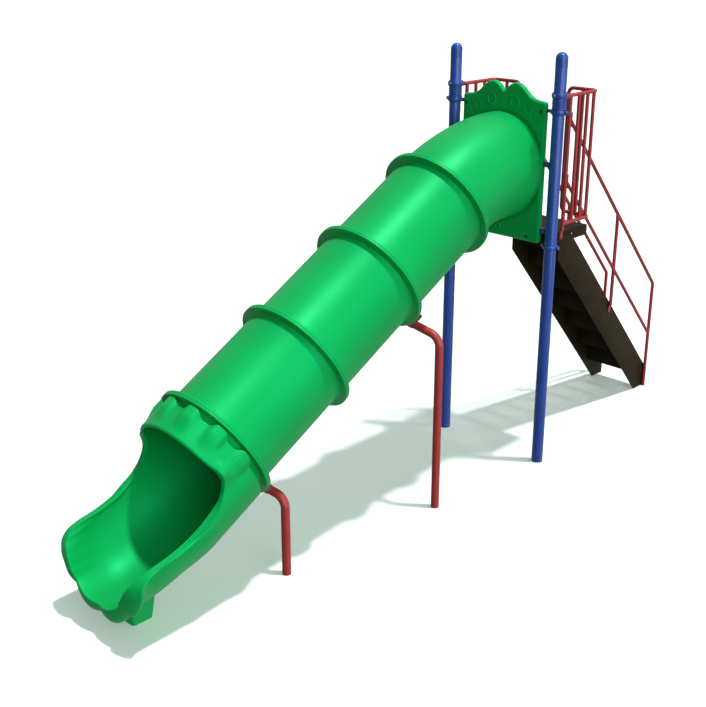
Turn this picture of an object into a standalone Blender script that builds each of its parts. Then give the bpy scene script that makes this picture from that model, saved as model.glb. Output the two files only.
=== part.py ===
"""Tube playground slide: an enclosed straight tube slide on a tall frame with a steep stair behind it.

Metres, +Z up. The layout has the two posts on the line y = 0. The slide runs down from them towards
-Y and the stair towards +Y. +X is on the right of someone who stands at the foot of the slide and
looks up at the posts. One empty moves the layout so that the origin is on the ground, under the
middle of the whole object.
"""
import math

import bmesh
import bpy
from mathutils import Matrix, Vector

# Fit between neighbours that touch
GAP = 0.0003

# Posts, 3.5 inch pipe, 38 inches apart
POST_X = 0.4826
POST_RADIUS = 0.04445
POST_TOP = 3.145
POST_SIDES = 24
CAP_TOP = 3.200
CAP_RADIUS = 0.0475
CAP_SKIRT = 0.052
CAP_EDGE = 0.012
CAP_DOME_STEPS = 5

# Tube, 30 inches inside
TUBE_INNER = 0.381
TUBE_OUTER = 0.3872
SLOPE = math.radians(29.4)
FLANGE_RADIUS = 0.445
FLANGE_THICKNESS = 0.018
FLANGE_FILLET = 0.006
JOINT_PITCH = 0.8065
FIRST_JOINT_Y = -0.7672
FIRST_JOINT_Z = 2.1526
SECTION_COUNT = 3
TUBE_SIDES = 40

# Elbow between the entrance panel and the first joint; its mouth is half width, half height
ENTRY_Z = 2.336
ELBOW_MOUTH = (0.375, 0.403)
ELBOW_BEND_RINGS = 7
ELBOW_STRAIGHT = 0.004

# Entrance panel
PANEL_HALF_WIDTH = 0.382
PANEL_BOTTOM = 1.786
PANEL_HALF_THICKNESS = 0.026
PANEL_SHOULDER_Z = 2.838
PANEL_CORNER = 0.030
HUMP_X = 0.125
HUMP_TOP = 2.963
HUMP_RADIUS = 0.105
VALLEY_Z = 2.890
PANEL_ROUNDING = 0.008
PANEL_HOLE_RADIUS = 0.352

# Exit chute, measured along the centre line from the last joint
EXIT_BEND_RADIUS = 0.955
EXIT_FLOOR_Z = 0.175
# Flutes of the hood and lobes of the lip share one count right round
FLUTES = 12
HOOD_START = 0.052
HOOD_SCALLOP = 0.028
HOOD_RAMP = 0.014
HOOD_FADE_ANGLES = (-12, 18)
HOOD_RISE = 0.022
HOOD_FLUTE = 0.031
HOOD_FLUTE_RUN = (0.060, 0.235)
LIP_FLARE = 0.030
LIP_INNER_FLARE = 0.018
LIP_WIDTH = 0.085
LIP_NOTCH = 0.035
LIP_NOTCH_ANGLES = (-12, -28)
EXIT_ROWS = 10
EXIT_ROW_CROWDING = 0.45
# Columns over the hood, beside the opening and under the tip, and where the first ones end
EXIT_COLUMNS = (9, 8, 9)
HOOD_EDGE_ANGLE = 22.5
RIM_STEPS = 240
# Rim of the opening: distance along the centre line, angle above the widest line in degrees
EXIT_RIM = (
    (0.246, 90), (0.251, 45), (0.241, 20), (0.331, 3), (0.481, -3),
    (0.731, -1), (0.931, -2), (1.016, -18), (1.066, -45), (1.071, -90),
)
FOOT_CENTRE_Y = -3.578
FOOT_BOTTOM = (0.074, 0.061)
FOOT_TOP = (0.100, 0.095)
FOOT_HEIGHT = 0.30

# Bent supports, 2 3/8 inch pipe
SUPPORT_RADIUS = 0.03015
SUPPORT_BEND = 0.095
SUPPORT_BEND_STEPS = 6
SUPPORT_SIDES = 16
ARM_SLOPE = 0.25
ARM_TIP_X = 0.130
ARM_STANDOFF = 0.0575
ARM_DEPTH = 0.4393
MID_SUPPORT_FOOT = (0.402, -1.167)
LOW_SUPPORT_FOOT = (0.3056, -2.565)
SADDLE_THICKNESS = 0.006
SADDLE_INNER = 0.405
SADDLE_OUTER = 0.462
SADDLE_ANGLES = (-104, -38)
SADDLE_STEPS = 10
SOCKET_LENGTH = 0.060
SOCKET_WALL = 0.004
SOCKET_END = 0.006

# Clamps round the posts
CLAMP_SLEEVE = 0.0485
CLAMP_RING = 0.0570
CLAMP_RING_HEIGHT = 0.030
UPPER_RING_Z = 2.899
LOWER_RING_Z = 2.779
DECK_RING_Z = 1.776
CLAMP_OVERHANG = 0.010
EAR_ROOT = 0.04975
EAR_HALF_THICKNESS = 0.006
EAR_REACH = 0.0855
CLIP_HEIGHTS = {"upper": 2.388, "lower": 1.885}
CLIP_HALF_HEIGHT = 0.020
CLIP_HALF_DEPTH = 0.010

# Deck
DECK_TOP = 1.857
DECK_SKIRT = 0.080
DECK_SHEET = 0.004
DECK_REAR = 0.511
DECK_NOTCH_X = 0.420
DECK_NOTCH_Y = 0.062

# Rails, one size of pipe throughout
RAIL_RADIUS = 0.0145
BAR_RADIUS = 0.0135
RAIL_SIDES = 10
BAR_SIDES = 8
RAIL_BEND = 0.045
RAIL_BEND_STEPS = 4
GUARD_TOP = 2.884
GUARD_BOTTOM = 1.929
GUARD_FIRST_Y = 0.143
GUARD_BAR_PITCH = 0.110
GUARD_REAR = 0.490
GUARD_RETURN_X = 0.229
GUARD_RETURN_BAR_X = 0.358
GUARD_FOOT_Z = 1.808

# Stair
STAIR_HALF_WIDTH = 0.229
STRINGER_THICKNESS = 0.006
STAIR_PITCH = 1.108
STRINGER_TOP_POINT = (1.3735, 0.918)
STRINGER_DEPTH = 0.372
STRINGER_REAR = 2.030
STRINGER_FRONT = 0.4903
RISER_COUNT = 8
TREAD_THICKNESS = 0.030
TREAD_SETBACK = 0.015
TREAD_GOING = 0.215
RISER_THICKNESS = 0.006

# Handrails
HANDRAIL_CORNER = (2.010, 0.998)
HANDRAIL_PITCH = 1.097
MIDRAIL_DROP = 0.480
MIDDLE_POST_Y = 1.318
MIDDLE_POST_FOOT = 0.885
RAIL_PLATE_HALF_WIDTH = 0.022
RAIL_PLATE_HALF_HEIGHT = 0.055
RAIL_PLATE_THICKNESS = 0.006

DOWN = Vector((0, -math.cos(SLOPE), -math.sin(SLOPE)))
NORMAL = Vector((0, -math.sin(SLOPE), math.cos(SLOPE)))
ACROSS = Vector((1, 0, 0))


def joint_centre(number):
    """Middle of the flange joint, counted from 1 at the elbow."""
    return Vector((0, FIRST_JOINT_Y, FIRST_JOINT_Z)) + DOWN * JOINT_PITCH * (number - 1)


EXIT_START = joint_centre(SECTION_COUNT + 1)
EXIT_DROP = EXIT_BEND_RADIUS * (1 - math.cos(SLOPE))
EXIT_STRAIGHT = (EXIT_START.z - EXIT_FLOOR_Z - TUBE_INNER - EXIT_DROP) / math.sin(SLOPE)


def exit_centre(along):
    """Centre line of the exit chute and its up-facing normal, at a distance from the last joint."""
    if along <= EXIT_STRAIGHT:
        return EXIT_START + DOWN * along, NORMAL
    turned = SLOPE - (along - EXIT_STRAIGHT) / EXIT_BEND_RADIUS
    bend_start = EXIT_START + DOWN * EXIT_STRAIGHT
    pivot = bend_start + NORMAL * EXIT_BEND_RADIUS
    normal = Vector((0, -math.sin(turned), math.cos(turned)))
    return pivot - normal * EXIT_BEND_RADIUS, normal


def clear_scene():
    for item in list(bpy.data.objects):
        bpy.data.objects.remove(item, do_unlink=True)


def material(name, colour, roughness, metallic=0.0):
    made = bpy.data.materials.new(name)
    made.use_nodes = True
    shader = made.node_tree.nodes["Principled BSDF"]
    shader.inputs["Base Color"].default_value = (*colour, 1)
    shader.inputs["Roughness"].default_value = roughness
    shader.inputs["Metallic"].default_value = metallic
    return made


clear_scene()
GREEN = material("green_plastic", (0.012, 0.50, 0.11), 0.35)
BLUE = material("blue_paint", (0.03, 0.08, 0.36), 0.35)
RED = material("red_coating", (0.30, 0.03, 0.035), 0.45)
BROWN = material("brown_coating", (0.042, 0.024, 0.013), 0.55)

SITE = bpy.data.objects.new("site", None)
bpy.context.collection.objects.link(SITE)


def node(name, mesh_builder, finish, sharp_angle=35):
    """One named object from a bmesh, shaded smooth, standing in the layout frame."""
    mesh = bpy.data.meshes.new(name)
    bmesh.ops.remove_doubles(mesh_builder, verts=mesh_builder.verts, dist=1e-6)
    bmesh.ops.recalc_face_normals(mesh_builder, faces=mesh_builder.faces)
    mesh_builder.to_mesh(mesh)
    mesh_builder.free()
    mesh.shade_smooth()
    mesh.set_sharp_from_angle(angle=math.radians(sharp_angle))
    mesh.materials.append(finish)
    made = bpy.data.objects.new(name, mesh)
    bpy.context.collection.objects.link(made)
    made.parent = SITE
    return made


def guide(name, mesh_builder):
    """An object that only cuts or joins another one."""
    made = node(name, mesh_builder, GREEN)
    made.hide_render = True
    made.display_type = "WIRE"
    return made


def boolean(target, tool, operation):
    change = target.modifiers.new(operation.lower(), "BOOLEAN")
    change.operation = operation
    change.solver = "EXACT"
    change.object = tool


def ring_of(mesh_builder, centre, first, second, radius, sides):
    """Vertices on a circle in the plane of two unit directions, or on an oval if these differ in length."""
    made = []
    for index in range(sides):
        angle = 2 * math.pi * index / sides
        place = centre + (first * math.cos(angle) + second * math.sin(angle)) * radius
        made.append(mesh_builder.verts.new(place))
    return made


def bridge(mesh_builder, lower, upper):
    count = len(lower)
    for index in range(count):
        after = (index + 1) % count
        mesh_builder.faces.new((lower[index], lower[after], upper[after], upper[index]))


def turned(profile, centre, axis, first, sides, closed=True):
    """Turn a profile of (radius, distance along the axis); radius 0 closes the end with a fan."""
    mesh_builder = bmesh.new()
    second = axis.cross(first)
    rings = []
    for radius, along in profile:
        place = centre + axis * along
        if radius == 0:
            rings.append(mesh_builder.verts.new(place))
        else:
            rings.append(ring_of(mesh_builder, place, first, second, radius, sides))
    pairs = list(zip(rings, rings[1:]))
    if closed:
        pairs.append((rings[-1], rings[0]))
    for lower, upper in pairs:
        if isinstance(lower, list) and isinstance(upper, list):
            bridge(mesh_builder, lower, upper)
            continue
        tip, circle = (lower, upper) if isinstance(upper, list) else (upper, lower)
        for index in range(sides):
            mesh_builder.faces.new((tip, circle[index], circle[(index + 1) % sides]))
    return mesh_builder


def smoothstep(low, high, value):
    ratio = min(max((value - low) / (high - low), 0.0), 1.0)
    return ratio * ratio * (3 - 2 * ratio)


def box(low, high):
    mesh_builder = bmesh.new()
    add_box(mesh_builder, low, high)
    return mesh_builder


def add_box(mesh_builder, low, high):
    size = Vector(high) - Vector(low)
    middle = (Vector(high) + Vector(low)) / 2
    place = Matrix.Translation(middle) @ Matrix.Diagonal((*size, 1))
    bmesh.ops.create_cube(mesh_builder, size=1, matrix=place)


def prism(mesh_builder, outline, across_low, across_high):
    """A solid from an outline of (y, z) points, between two places along X."""
    low = [mesh_builder.verts.new((across_low, y, z)) for y, z in outline]
    high = [mesh_builder.verts.new((across_high, y, z)) for y, z in outline]
    mesh_builder.faces.new(low)
    mesh_builder.faces.new(high[::-1])
    bridge(mesh_builder, low, high)


def rounded_path(corners, radius, steps):
    """Points along straight runs joined by arcs of one radius."""
    points = [Vector(corners[0])]
    for before, corner, after in zip(corners, corners[1:], corners[2:]):
        here = Vector(corner)
        back = (Vector(before) - here).normalized()
        ahead = (Vector(after) - here).normalized()
        half = back.angle(ahead) / 2
        reach = radius / math.tan(half)
        middle = here + (back + ahead).normalized() * radius / math.sin(half)
        start = here + back * reach - middle
        end = here + ahead * reach - middle
        sweep = start.angle(end)
        axis = start.cross(end).normalized()
        for step in range(steps + 1):
            points.append(middle + Matrix.Rotation(sweep * step / steps, 3, axis) @ start)
    points.append(Vector(corners[-1]))
    return points


def add_pipe(mesh_builder, points, radius, sides):
    """A round bar along points, closed by a flat face at each end."""
    count = len(points)
    directions = []
    for index in range(count):
        before = points[max(index - 1, 0)]
        after = points[min(index + 1, count - 1)]
        directions.append((after - before).normalized())
    side = directions[0].orthogonal().normalized()
    frames = []
    for index in range(count):
        direction = directions[index]
        side = (side - direction * side.dot(direction)).normalized()
        frames.append((side.copy(), direction.cross(side)))
    outer = [ring_of(mesh_builder, points[i], *frames[i], radius, sides) for i in range(count)]
    for lower, upper in zip(outer, outer[1:]):
        bridge(mesh_builder, lower, upper)
    mesh_builder.faces.new(outer[0])
    mesh_builder.faces.new(outer[-1])


def build_posts():
    up = Vector((0, 0, 1))
    post_profile = ((0, 0), (POST_RADIUS, 0), (POST_RADIUS, POST_TOP), (0, POST_TOP))
    dome_height = CAP_TOP - POST_TOP - CAP_EDGE
    crown = [(0, CAP_TOP)]
    for step in range(1, CAP_DOME_STEPS + 1):
        angle = math.pi / 2 * (1 - step / CAP_DOME_STEPS)
        crown.append((CAP_RADIUS * math.cos(angle), CAP_TOP - dome_height * (1 - math.sin(angle))))
    socket = POST_RADIUS + GAP
    skirt, ceiling = POST_TOP - CAP_SKIRT, POST_TOP + GAP
    cap_profile = crown + [(CAP_RADIUS, skirt), (socket, skirt), (socket, ceiling), (0, ceiling)]
    for label, side in (("left", -1), ("right", 1)):
        foot = Vector((side * POST_X, 0, 0))
        node(f"post_{label}", turned(post_profile, foot, up, ACROSS, POST_SIDES, closed=False), BLUE)
        node(f"post_cap_{label}", turned(cap_profile, foot, up, ACROSS, POST_SIDES, closed=False), BLUE)


def clamp(name, side, ring_heights, ears, overhang):
    """A sleeve round a post with raised rings and flat bolted ears."""
    up = Vector((0, 0, 1))
    half = CLAMP_RING_HEIGHT / 2
    bore = POST_RADIUS + GAP
    profile = [(bore, ring_heights[0] - half - overhang)]
    if overhang:
        profile.append((CLAMP_SLEEVE, ring_heights[0] - half - overhang))
    for height in ring_heights:
        if overhang:
            profile.append((CLAMP_SLEEVE, height - half))
        profile.append((CLAMP_RING, height - half))
        profile.append((CLAMP_RING, height + half))
        if overhang:
            profile.append((CLAMP_SLEEVE, height + half))
    if overhang:
        profile.append((CLAMP_SLEEVE, ring_heights[-1] + half + overhang))
    profile.append((bore, ring_heights[-1] + half + overhang))
    foot = Vector((side * POST_X, 0, 0))
    made = node(name, turned(profile, foot, up, ACROSS, POST_SIDES), BLUE)
    lugs = bmesh.new()
    for low, high in ears(half):
        add_box(lugs, low, high)
    boolean(made, guide(f"{name}_ears", lugs), "UNION")


def build_clamps():
    panel_edge = PANEL_HALF_WIDTH + GAP
    thick = EAR_HALF_THICKNESS
    for label, side in (("left", -1), ("right", 1)):
        def across(height, start, end):
            """An ear along X, from the post's middle outwards or to the panel."""
            places = sorted((side * start, side * end))
            return lambda half: ((places[0], -thick, height - half), (places[1], thick, height + half))

        def upper_ears(half):
            low_x, high_x = side * POST_X - thick, side * POST_X + thick
            low_z, high_z = UPPER_RING_Z - half, UPPER_RING_Z + half
            inner = across(LOWER_RING_Z, panel_edge, POST_X - EAR_ROOT)
            outer = across(LOWER_RING_Z, POST_X + EAR_ROOT, POST_X + EAR_REACH)
            front = ((low_x, -EAR_REACH, low_z), (high_x, -EAR_ROOT, high_z))
            rear = ((low_x, EAR_ROOT, low_z), (high_x, EAR_REACH, high_z))
            return inner(half), outer(half), front, rear

        def deck_ears(half):
            inner = across(DECK_RING_Z, POST_X - EAR_REACH, POST_X - EAR_ROOT)
            outer = across(DECK_RING_Z, POST_X + EAR_ROOT, POST_X + EAR_REACH)
            return inner(half), outer(half)

        clamp(f"upper_clamp_{label}", side, (LOWER_RING_Z, UPPER_RING_Z), upper_ears, CLAMP_OVERHANG)
        clamp(f"deck_clamp_{label}", side, (DECK_RING_Z,), deck_ears, 0)

        places = sorted((side * panel_edge, side * (POST_X - POST_RADIUS - GAP)))
        for level, height in CLIP_HEIGHTS.items():
            low = (places[0], -CLIP_HALF_DEPTH, height - CLIP_HALF_HEIGHT)
            high = (places[1], CLIP_HALF_DEPTH, height + CLIP_HALF_HEIGHT)
            node(f"panel_clip_{label}_{level}", box(low, high), BLUE)


def arc_points(centre, radius, start, end, steps):
    points = []
    for step in range(steps + 1):
        angle = math.radians(start + (end - start) * step / steps)
        points.append((centre[0] + radius * math.cos(angle), centre[1] + radius * math.sin(angle)))
    return points


def panel_outline():
    """Right half of the panel's edge in (x, z), from the middle of the bottom up to the valley."""
    half, corner = PANEL_HALF_WIDTH, PANEL_CORNER
    bottom = arc_points((half - corner, PANEL_BOTTOM + corner), corner, -90, 0, 4)
    shoulder = arc_points((half - corner, PANEL_SHOULDER_Z - corner), corner, 0, 75, 4)
    hump = arc_points((HUMP_X, HUMP_TOP - HUMP_RADIUS), HUMP_RADIUS, 48, 150, 8)
    return bottom + shoulder + hump


def build_panel():
    right = panel_outline()
    left = [(-x, z) for x, z in reversed(right)]
    outline = right + [(0, VALLEY_Z)] + left
    mesh_builder = bmesh.new()
    front = [mesh_builder.verts.new((x, -PANEL_HALF_THICKNESS, z)) for x, z in outline]
    rear = [mesh_builder.verts.new((x, PANEL_HALF_THICKNESS, z)) for x, z in outline]
    mesh_builder.faces.new(front)
    mesh_builder.faces.new(rear[::-1])
    bridge(mesh_builder, front, rear)
    panel = node("entrance_panel", mesh_builder, GREEN)
    rounding = panel.modifiers.new("rounding", "BEVEL")
    rounding.width = PANEL_ROUNDING
    rounding.segments = 2
    rounding.limit_method = "ANGLE"
    rounding.angle_limit = math.radians(50)
    reach = 4 * PANEL_HALF_THICKNESS
    hole = turned(
        ((0, 0), (PANEL_HOLE_RADIUS, 0), (PANEL_HOLE_RADIUS, reach), (0, reach)),
        Vector((0, -reach / 2, ENTRY_Z)), Vector((0, 1, 0)), ACROSS, TUBE_SIDES, closed=False,
    )
    boolean(panel, guide("panel_hole", hole), "DIFFERENCE")


def elbow_rings(mesh_builder, stations, wall):
    """Ovals along the elbow, from its mouth at the panel to a round end, one wall inside the outer skin."""
    mouth_width, mouth_height = ELBOW_MOUTH
    rings = []
    for place, turn in stations:
        round_share = smoothstep(0, 0.6, turn / SLOPE)
        half_width = mouth_width + (TUBE_OUTER - mouth_width) * round_share - wall
        half_height = mouth_height + (TUBE_OUTER - mouth_height) * round_share - wall
        up = Vector((0, -math.sin(turn), math.cos(turn)))
        rings.append(ring_of(mesh_builder, place, ACROSS * half_width, up * half_height, 1, TUBE_SIDES))
    return rings


def build_elbow():
    """Bent tube: an oval mouth against the panel, an arc, and a flange at the first joint."""
    joint = joint_centre(1)
    corner = Vector((0, joint.y + (ENTRY_Z - joint.z) / math.tan(SLOPE), ENTRY_Z))
    reach = (joint - corner).length - FLANGE_THICKNESS - ELBOW_STRAIGHT
    radius = reach / math.tan(SLOPE / 2)
    pivot = corner + Vector((0, reach, -radius))
    stations = [(Vector((0, -PANEL_HALF_THICKNESS - GAP, ENTRY_Z)), 0.0)]
    for step in range(ELBOW_BEND_RINGS):
        turn = SLOPE * step / (ELBOW_BEND_RINGS - 1)
        stations.append((pivot + Vector((0, -math.sin(turn), math.cos(turn))) * radius, turn))
    face = joint - DOWN * GAP / 2
    back = face - DOWN * FLANGE_THICKNESS

    mesh_builder = bmesh.new()
    outer = elbow_rings(mesh_builder, stations + [(back, SLOPE)], 0)
    for place in (back, face):
        outer.append(ring_of(mesh_builder, place, ACROSS, NORMAL, FLANGE_RADIUS, TUBE_SIDES))
    inner = elbow_rings(mesh_builder, stations + [(face, SLOPE)], TUBE_OUTER - TUBE_INNER)
    for rings in (outer, inner):
        for lower, upper in zip(rings, rings[1:]):
            bridge(mesh_builder, lower, upper)
    bridge(mesh_builder, outer[0], inner[0])
    bridge(mesh_builder, outer[-1], inner[-1])
    node("tube_elbow", mesh_builder, GREEN)


def build_sections():
    length = JOINT_PITCH - GAP
    near, far = FLANGE_THICKNESS, length - FLANGE_THICKNESS
    root = TUBE_OUTER + FLANGE_FILLET
    profile = (
        (TUBE_INNER, 0), (FLANGE_RADIUS, 0), (FLANGE_RADIUS, near), (root, near),
        (TUBE_OUTER, near + FLANGE_FILLET), (TUBE_OUTER, far - FLANGE_FILLET), (root, far),
        (FLANGE_RADIUS, far), (FLANGE_RADIUS, length), (TUBE_INNER, length),
    )
    for number in range(1, SECTION_COUNT + 1):
        start = joint_centre(number) + DOWN * GAP / 2
        node(f"tube_section_{number}", turned(profile, start, DOWN, ACROSS, TUBE_SIDES), GREEN)


def spline(points, steps):
    """Smooth curve through points, as a list with even spacing by length."""
    padded = [points[0]] + list(points) + [points[-1]]
    dense = []
    for index in range(1, len(padded) - 2):
        p0, p1, p2, p3 = (Vector(padded[index + offset]) for offset in (-1, 0, 1, 2))
        for step in range(12):
            t = step / 12
            dense.append(
                (p1 * 2 + (p2 - p0) * t + (p0 * 2 - p1 * 5 + p2 * 4 - p3) * t * t
                 + (p1 * 3 - p0 - p2 * 3 + p3) * t * t * t) / 2
            )
    dense.append(Vector(points[-1]))
    lengths = [0.0]
    for before, after in zip(dense, dense[1:]):
        lengths.append(lengths[-1] + (after - before).length)
    even = []
    index = 0
    for step in range(steps + 1):
        target = lengths[-1] * step / steps
        while index < len(dense) - 2 and lengths[index + 1] < target:
            index += 1
        span = max(lengths[index + 1] - lengths[index], 1e-9)
        even.append(dense[index].lerp(dense[index + 1], (target - lengths[index]) / span))
    return even


def crest(angle):
    """1 on the ridge of a flute, 0 in the groove between two; the top and the bottom are grooves."""
    return 0.5 - 0.5 * math.cos(FLUTES * (angle - math.pi / 2))


def hood_share(angle):
    """1 over the hood, 0 over the lower half of the chute."""
    return smoothstep(*HOOD_FADE_ANGLES, math.degrees(angle))


def hood_start(angle):
    """Where the chute's wall begins to rise behind the last flange, further back on each ridge."""
    return HOOD_START - HOOD_SCALLOP * crest(angle) * hood_share(angle)


def lip_cut(angle):
    """How far the notches between the lip's lobes are cut back, near the tip."""
    groove = 1 - abs(math.sin(FLUTES / 2 * (angle - math.pi / 2)))
    return LIP_NOTCH * groove * smoothstep(*LIP_NOTCH_ANGLES, math.degrees(angle))


def column_angles():
    """Angles of the columns at the last joint, in degrees, from the top down to the bottom."""
    over, beside, under = EXIT_COLUMNS
    reach = 90 - HOOD_EDGE_ANGLE
    angles = [90 - reach * step / over for step in range(over)]
    angles += [HOOD_EDGE_ANGLE - 2 * HOOD_EDGE_ANGLE * step / beside for step in range(beside)]
    angles += [-HOOD_EDGE_ANGLE - reach * step / under for step in range(under + 1)]
    return angles


def rim_position(rim, angle):
    """Place on the rim, counted in its steps, where it first comes down to an angle in degrees."""
    target = math.radians(angle) * TUBE_OUTER
    for index, (before, after) in enumerate(zip(rim, rim[1:])):
        if after.y <= target:
            return index + (before.y - target) / (before.y - after.y)
    return len(rim) - 1


def exit_grid():
    """Columns of (along, angle, distance to the rim) from the last flange to the rim, for the +X half."""
    rim = spline([(along, math.radians(angle) * TUBE_OUTER) for along, angle in EXIT_RIM], RIM_STEPS)
    side_start = rim_position(rim, HOOD_EDGE_ANGLE)
    side_end = rim_position(rim, -HOOD_EDGE_ANGLE)
    columns = []
    for angle in column_angles():
        if abs(angle) < HOOD_EDGE_ANGLE:
            share = (HOOD_EDGE_ANGLE - angle) / (2 * HOOD_EDGE_ANGLE)
            position = side_start + (side_end - side_start) * share
        else:
            position = rim_position(rim, angle)
        index = min(int(position), RIM_STEPS - 1)
        end = rim[index].lerp(rim[index + 1], position - index)
        end.x -= lip_cut(end.y / TUBE_OUTER)
        turn = math.radians(angle)
        start = Vector((hood_start(turn), turn * TUBE_OUTER))
        length = (end - start).length
        column = []
        for row in range(EXIT_ROWS + 1):
            share = row / EXIT_ROWS
            share = share + (1 - share) * share * EXIT_ROW_CROWDING
            place = start.lerp(end, share)
            column.append((place.x, place.y / TUBE_OUTER, length * (1 - share)))
        columns.append(column)
    return columns


def lip_share(to_rim):
    """0 where the wall starts to flare out, 1 at the rim."""
    return smoothstep(LIP_WIDTH, 0, to_rim)


def exit_outer_radius(along, angle, to_rim):
    """Outside of the chute: a fluted hood over the upper half and a flared lip along the rim."""
    start = hood_start(angle)
    hood = hood_share(angle) * smoothstep(start, start + HOOD_RAMP, along)
    flute = crest(angle) * (1 - smoothstep(*HOOD_FLUTE_RUN, along))
    rise = hood * (HOOD_RISE + HOOD_FLUTE * flute)
    return TUBE_OUTER + max(rise, LIP_FLARE * lip_share(to_rim))


def exit_inner_radius(along, angle, to_rim):
    """Inside of the chute, which opens out with the lip below the hood."""
    return TUBE_INNER + LIP_INNER_FLARE * lip_share(to_rim) * (1 - hood_share(angle))


def exit_point(along, angle, radius, side):
    centre, normal = exit_centre(along)
    return centre + ACROSS * side * math.cos(angle) * radius + normal * math.sin(angle) * radius


def exit_skin(mesh_builder, columns, radius_at):
    """Rings of vertices right round the chute, one for each row."""
    rings = []
    for row in range(EXIT_ROWS + 1):
        ring = []
        for column in columns:
            along, angle, to_rim = column[row]
            ring.append(mesh_builder.verts.new(exit_point(along, angle, radius_at(along, angle, to_rim), 1)))
        for column in reversed(columns[1:-1]):
            along, angle, to_rim = column[row]
            ring.append(mesh_builder.verts.new(exit_point(along, angle, radius_at(along, angle, to_rim), -1)))
        rings.append(ring)
    return rings


def circle_at(mesh_builder, along, radius):
    """A full ring of the chute at one distance, in the same order as its skins."""
    ring = []
    steps = [math.radians(angle) for angle in column_angles()]
    for angle in steps:
        ring.append(mesh_builder.verts.new(exit_point(along, angle, radius, 1)))
    for angle in reversed(steps[1:-1]):
        ring.append(mesh_builder.verts.new(exit_point(along, angle, radius, -1)))
    return ring


def fix_diagonals(mesh_builder):
    """Split all quads the same way, so that the chute and what is cut to it keep an even gap."""
    bmesh.ops.triangulate(mesh_builder, faces=mesh_builder.faces, quad_method="FIXED")


def build_exit():
    columns = exit_grid()
    mesh_builder = bmesh.new()
    face = GAP / 2
    rings = [
        circle_at(mesh_builder, face, TUBE_INNER),
        circle_at(mesh_builder, face, FLANGE_RADIUS),
        circle_at(mesh_builder, face + FLANGE_THICKNESS, FLANGE_RADIUS),
        circle_at(mesh_builder, face + FLANGE_THICKNESS, TUBE_OUTER),
    ]
    rings += exit_skin(mesh_builder, columns, exit_outer_radius)
    rings += reversed(exit_skin(mesh_builder, columns, exit_inner_radius))
    for lower, upper in zip(rings, rings[1:]):
        bridge(mesh_builder, lower, upper)
    bridge(mesh_builder, rings[-1], rings[0])
    fix_diagonals(mesh_builder)
    node("exit_chute", mesh_builder, GREEN, sharp_angle=50)

    foot = bmesh.new()
    loops = []
    for (half_x, half_y), z in ((FOOT_BOTTOM, 0), (FOOT_TOP, FOOT_HEIGHT)):
        corners = ((-half_x, -half_y), (half_x, -half_y), (half_x, half_y), (-half_x, half_y))
        loops.append([foot.verts.new((x, FOOT_CENTRE_Y + y, z)) for x, y in corners])
    foot.faces.new(loops[0])
    foot.faces.new(loops[1][::-1])
    bridge(foot, *loops)
    made = node("exit_foot", foot, GREEN)

    envelope = bmesh.new()
    skin = exit_skin(envelope, columns, lambda *place: exit_outer_radius(*place) + GAP)
    for lower, upper in zip(skin, skin[1:]):
        bridge(envelope, lower, upper)
    fix_diagonals(envelope)
    envelope.faces.new(skin[0])
    rim, last = skin[-1], len(columns) - 1
    for i in range(1, last - 1):
        envelope.faces.new((rim[i], rim[i + 1], rim[-i - 1], rim[-i]))
    envelope.faces.new((rim[0], rim[1], rim[-1]))
    envelope.faces.new((rim[last - 1], rim[last], rim[last + 1]))
    boolean(made, guide("chute_envelope", envelope), "DIFFERENCE")


def centre_on_origin():
    """Move the layout so that the lip's lobes and the stair's rear reach equally far from the origin."""
    reaches = []
    for column in exit_grid():
        along, angle, to_rim = column[-1]
        reaches.append(-exit_point(along, angle, exit_outer_radius(along, angle, to_rim), 1).y)
    SITE.location.y = (max(reaches) - STRINGER_REAR) / 2


def support(name, foot, joint_number):
    """A post bent over to reach the upper side of a flange joint, and the saddle it is bolted to."""
    joint = joint_centre(joint_number)
    tip = joint - DOWN * ARM_STANDOFF + ACROSS * ARM_TIP_X - NORMAL * ARM_DEPTH
    base = Vector((foot[0], foot[1], 0))
    run = (Vector((tip.x, tip.y, 0)) - base).length
    corner = Vector((base.x, base.y, tip.z - ARM_SLOPE * run))
    mesh_builder = bmesh.new()
    path = rounded_path((base, corner, tip), SUPPORT_BEND, SUPPORT_BEND_STEPS)
    add_pipe(mesh_builder, path, SUPPORT_RADIUS, SUPPORT_SIDES)
    node(f"{name}_support", mesh_builder, RED)

    plate = bmesh.new()
    gap_to_flange = FLANGE_THICKNESS + 1.5 * GAP
    loops = []
    for offset in (gap_to_flange, gap_to_flange + SADDLE_THICKNESS):
        outer = arc_points((0, 0), SADDLE_OUTER, *SADDLE_ANGLES, SADDLE_STEPS)
        inner = arc_points((0, 0), SADDLE_INNER, *reversed(SADDLE_ANGLES), SADDLE_STEPS)
        centre = joint - DOWN * offset
        loops.append([plate.verts.new(centre + ACROSS * x + NORMAL * z) for x, z in outer + inner])
    plate.faces.new(loops[0])
    plate.faces.new(loops[1][::-1])
    bridge(plate, *loops)
    bracket = node(f"{name}_saddle", plate, RED)

    along = (tip - corner).normalized()
    first = along.orthogonal().normalized()
    bore = SUPPORT_RADIUS / math.cos(math.pi / SUPPORT_SIDES) + GAP
    shell = bore + SOCKET_WALL
    socket = turned(
        (
            (0, SOCKET_END), (shell, SOCKET_END), (shell, -SOCKET_LENGTH),
            (bore, -SOCKET_LENGTH), (bore, GAP), (0, GAP),
        ),
        tip, along, first, SUPPORT_SIDES, closed=False,
    )
    boolean(bracket, guide(f"{name}_socket", socket), "UNION")


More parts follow.
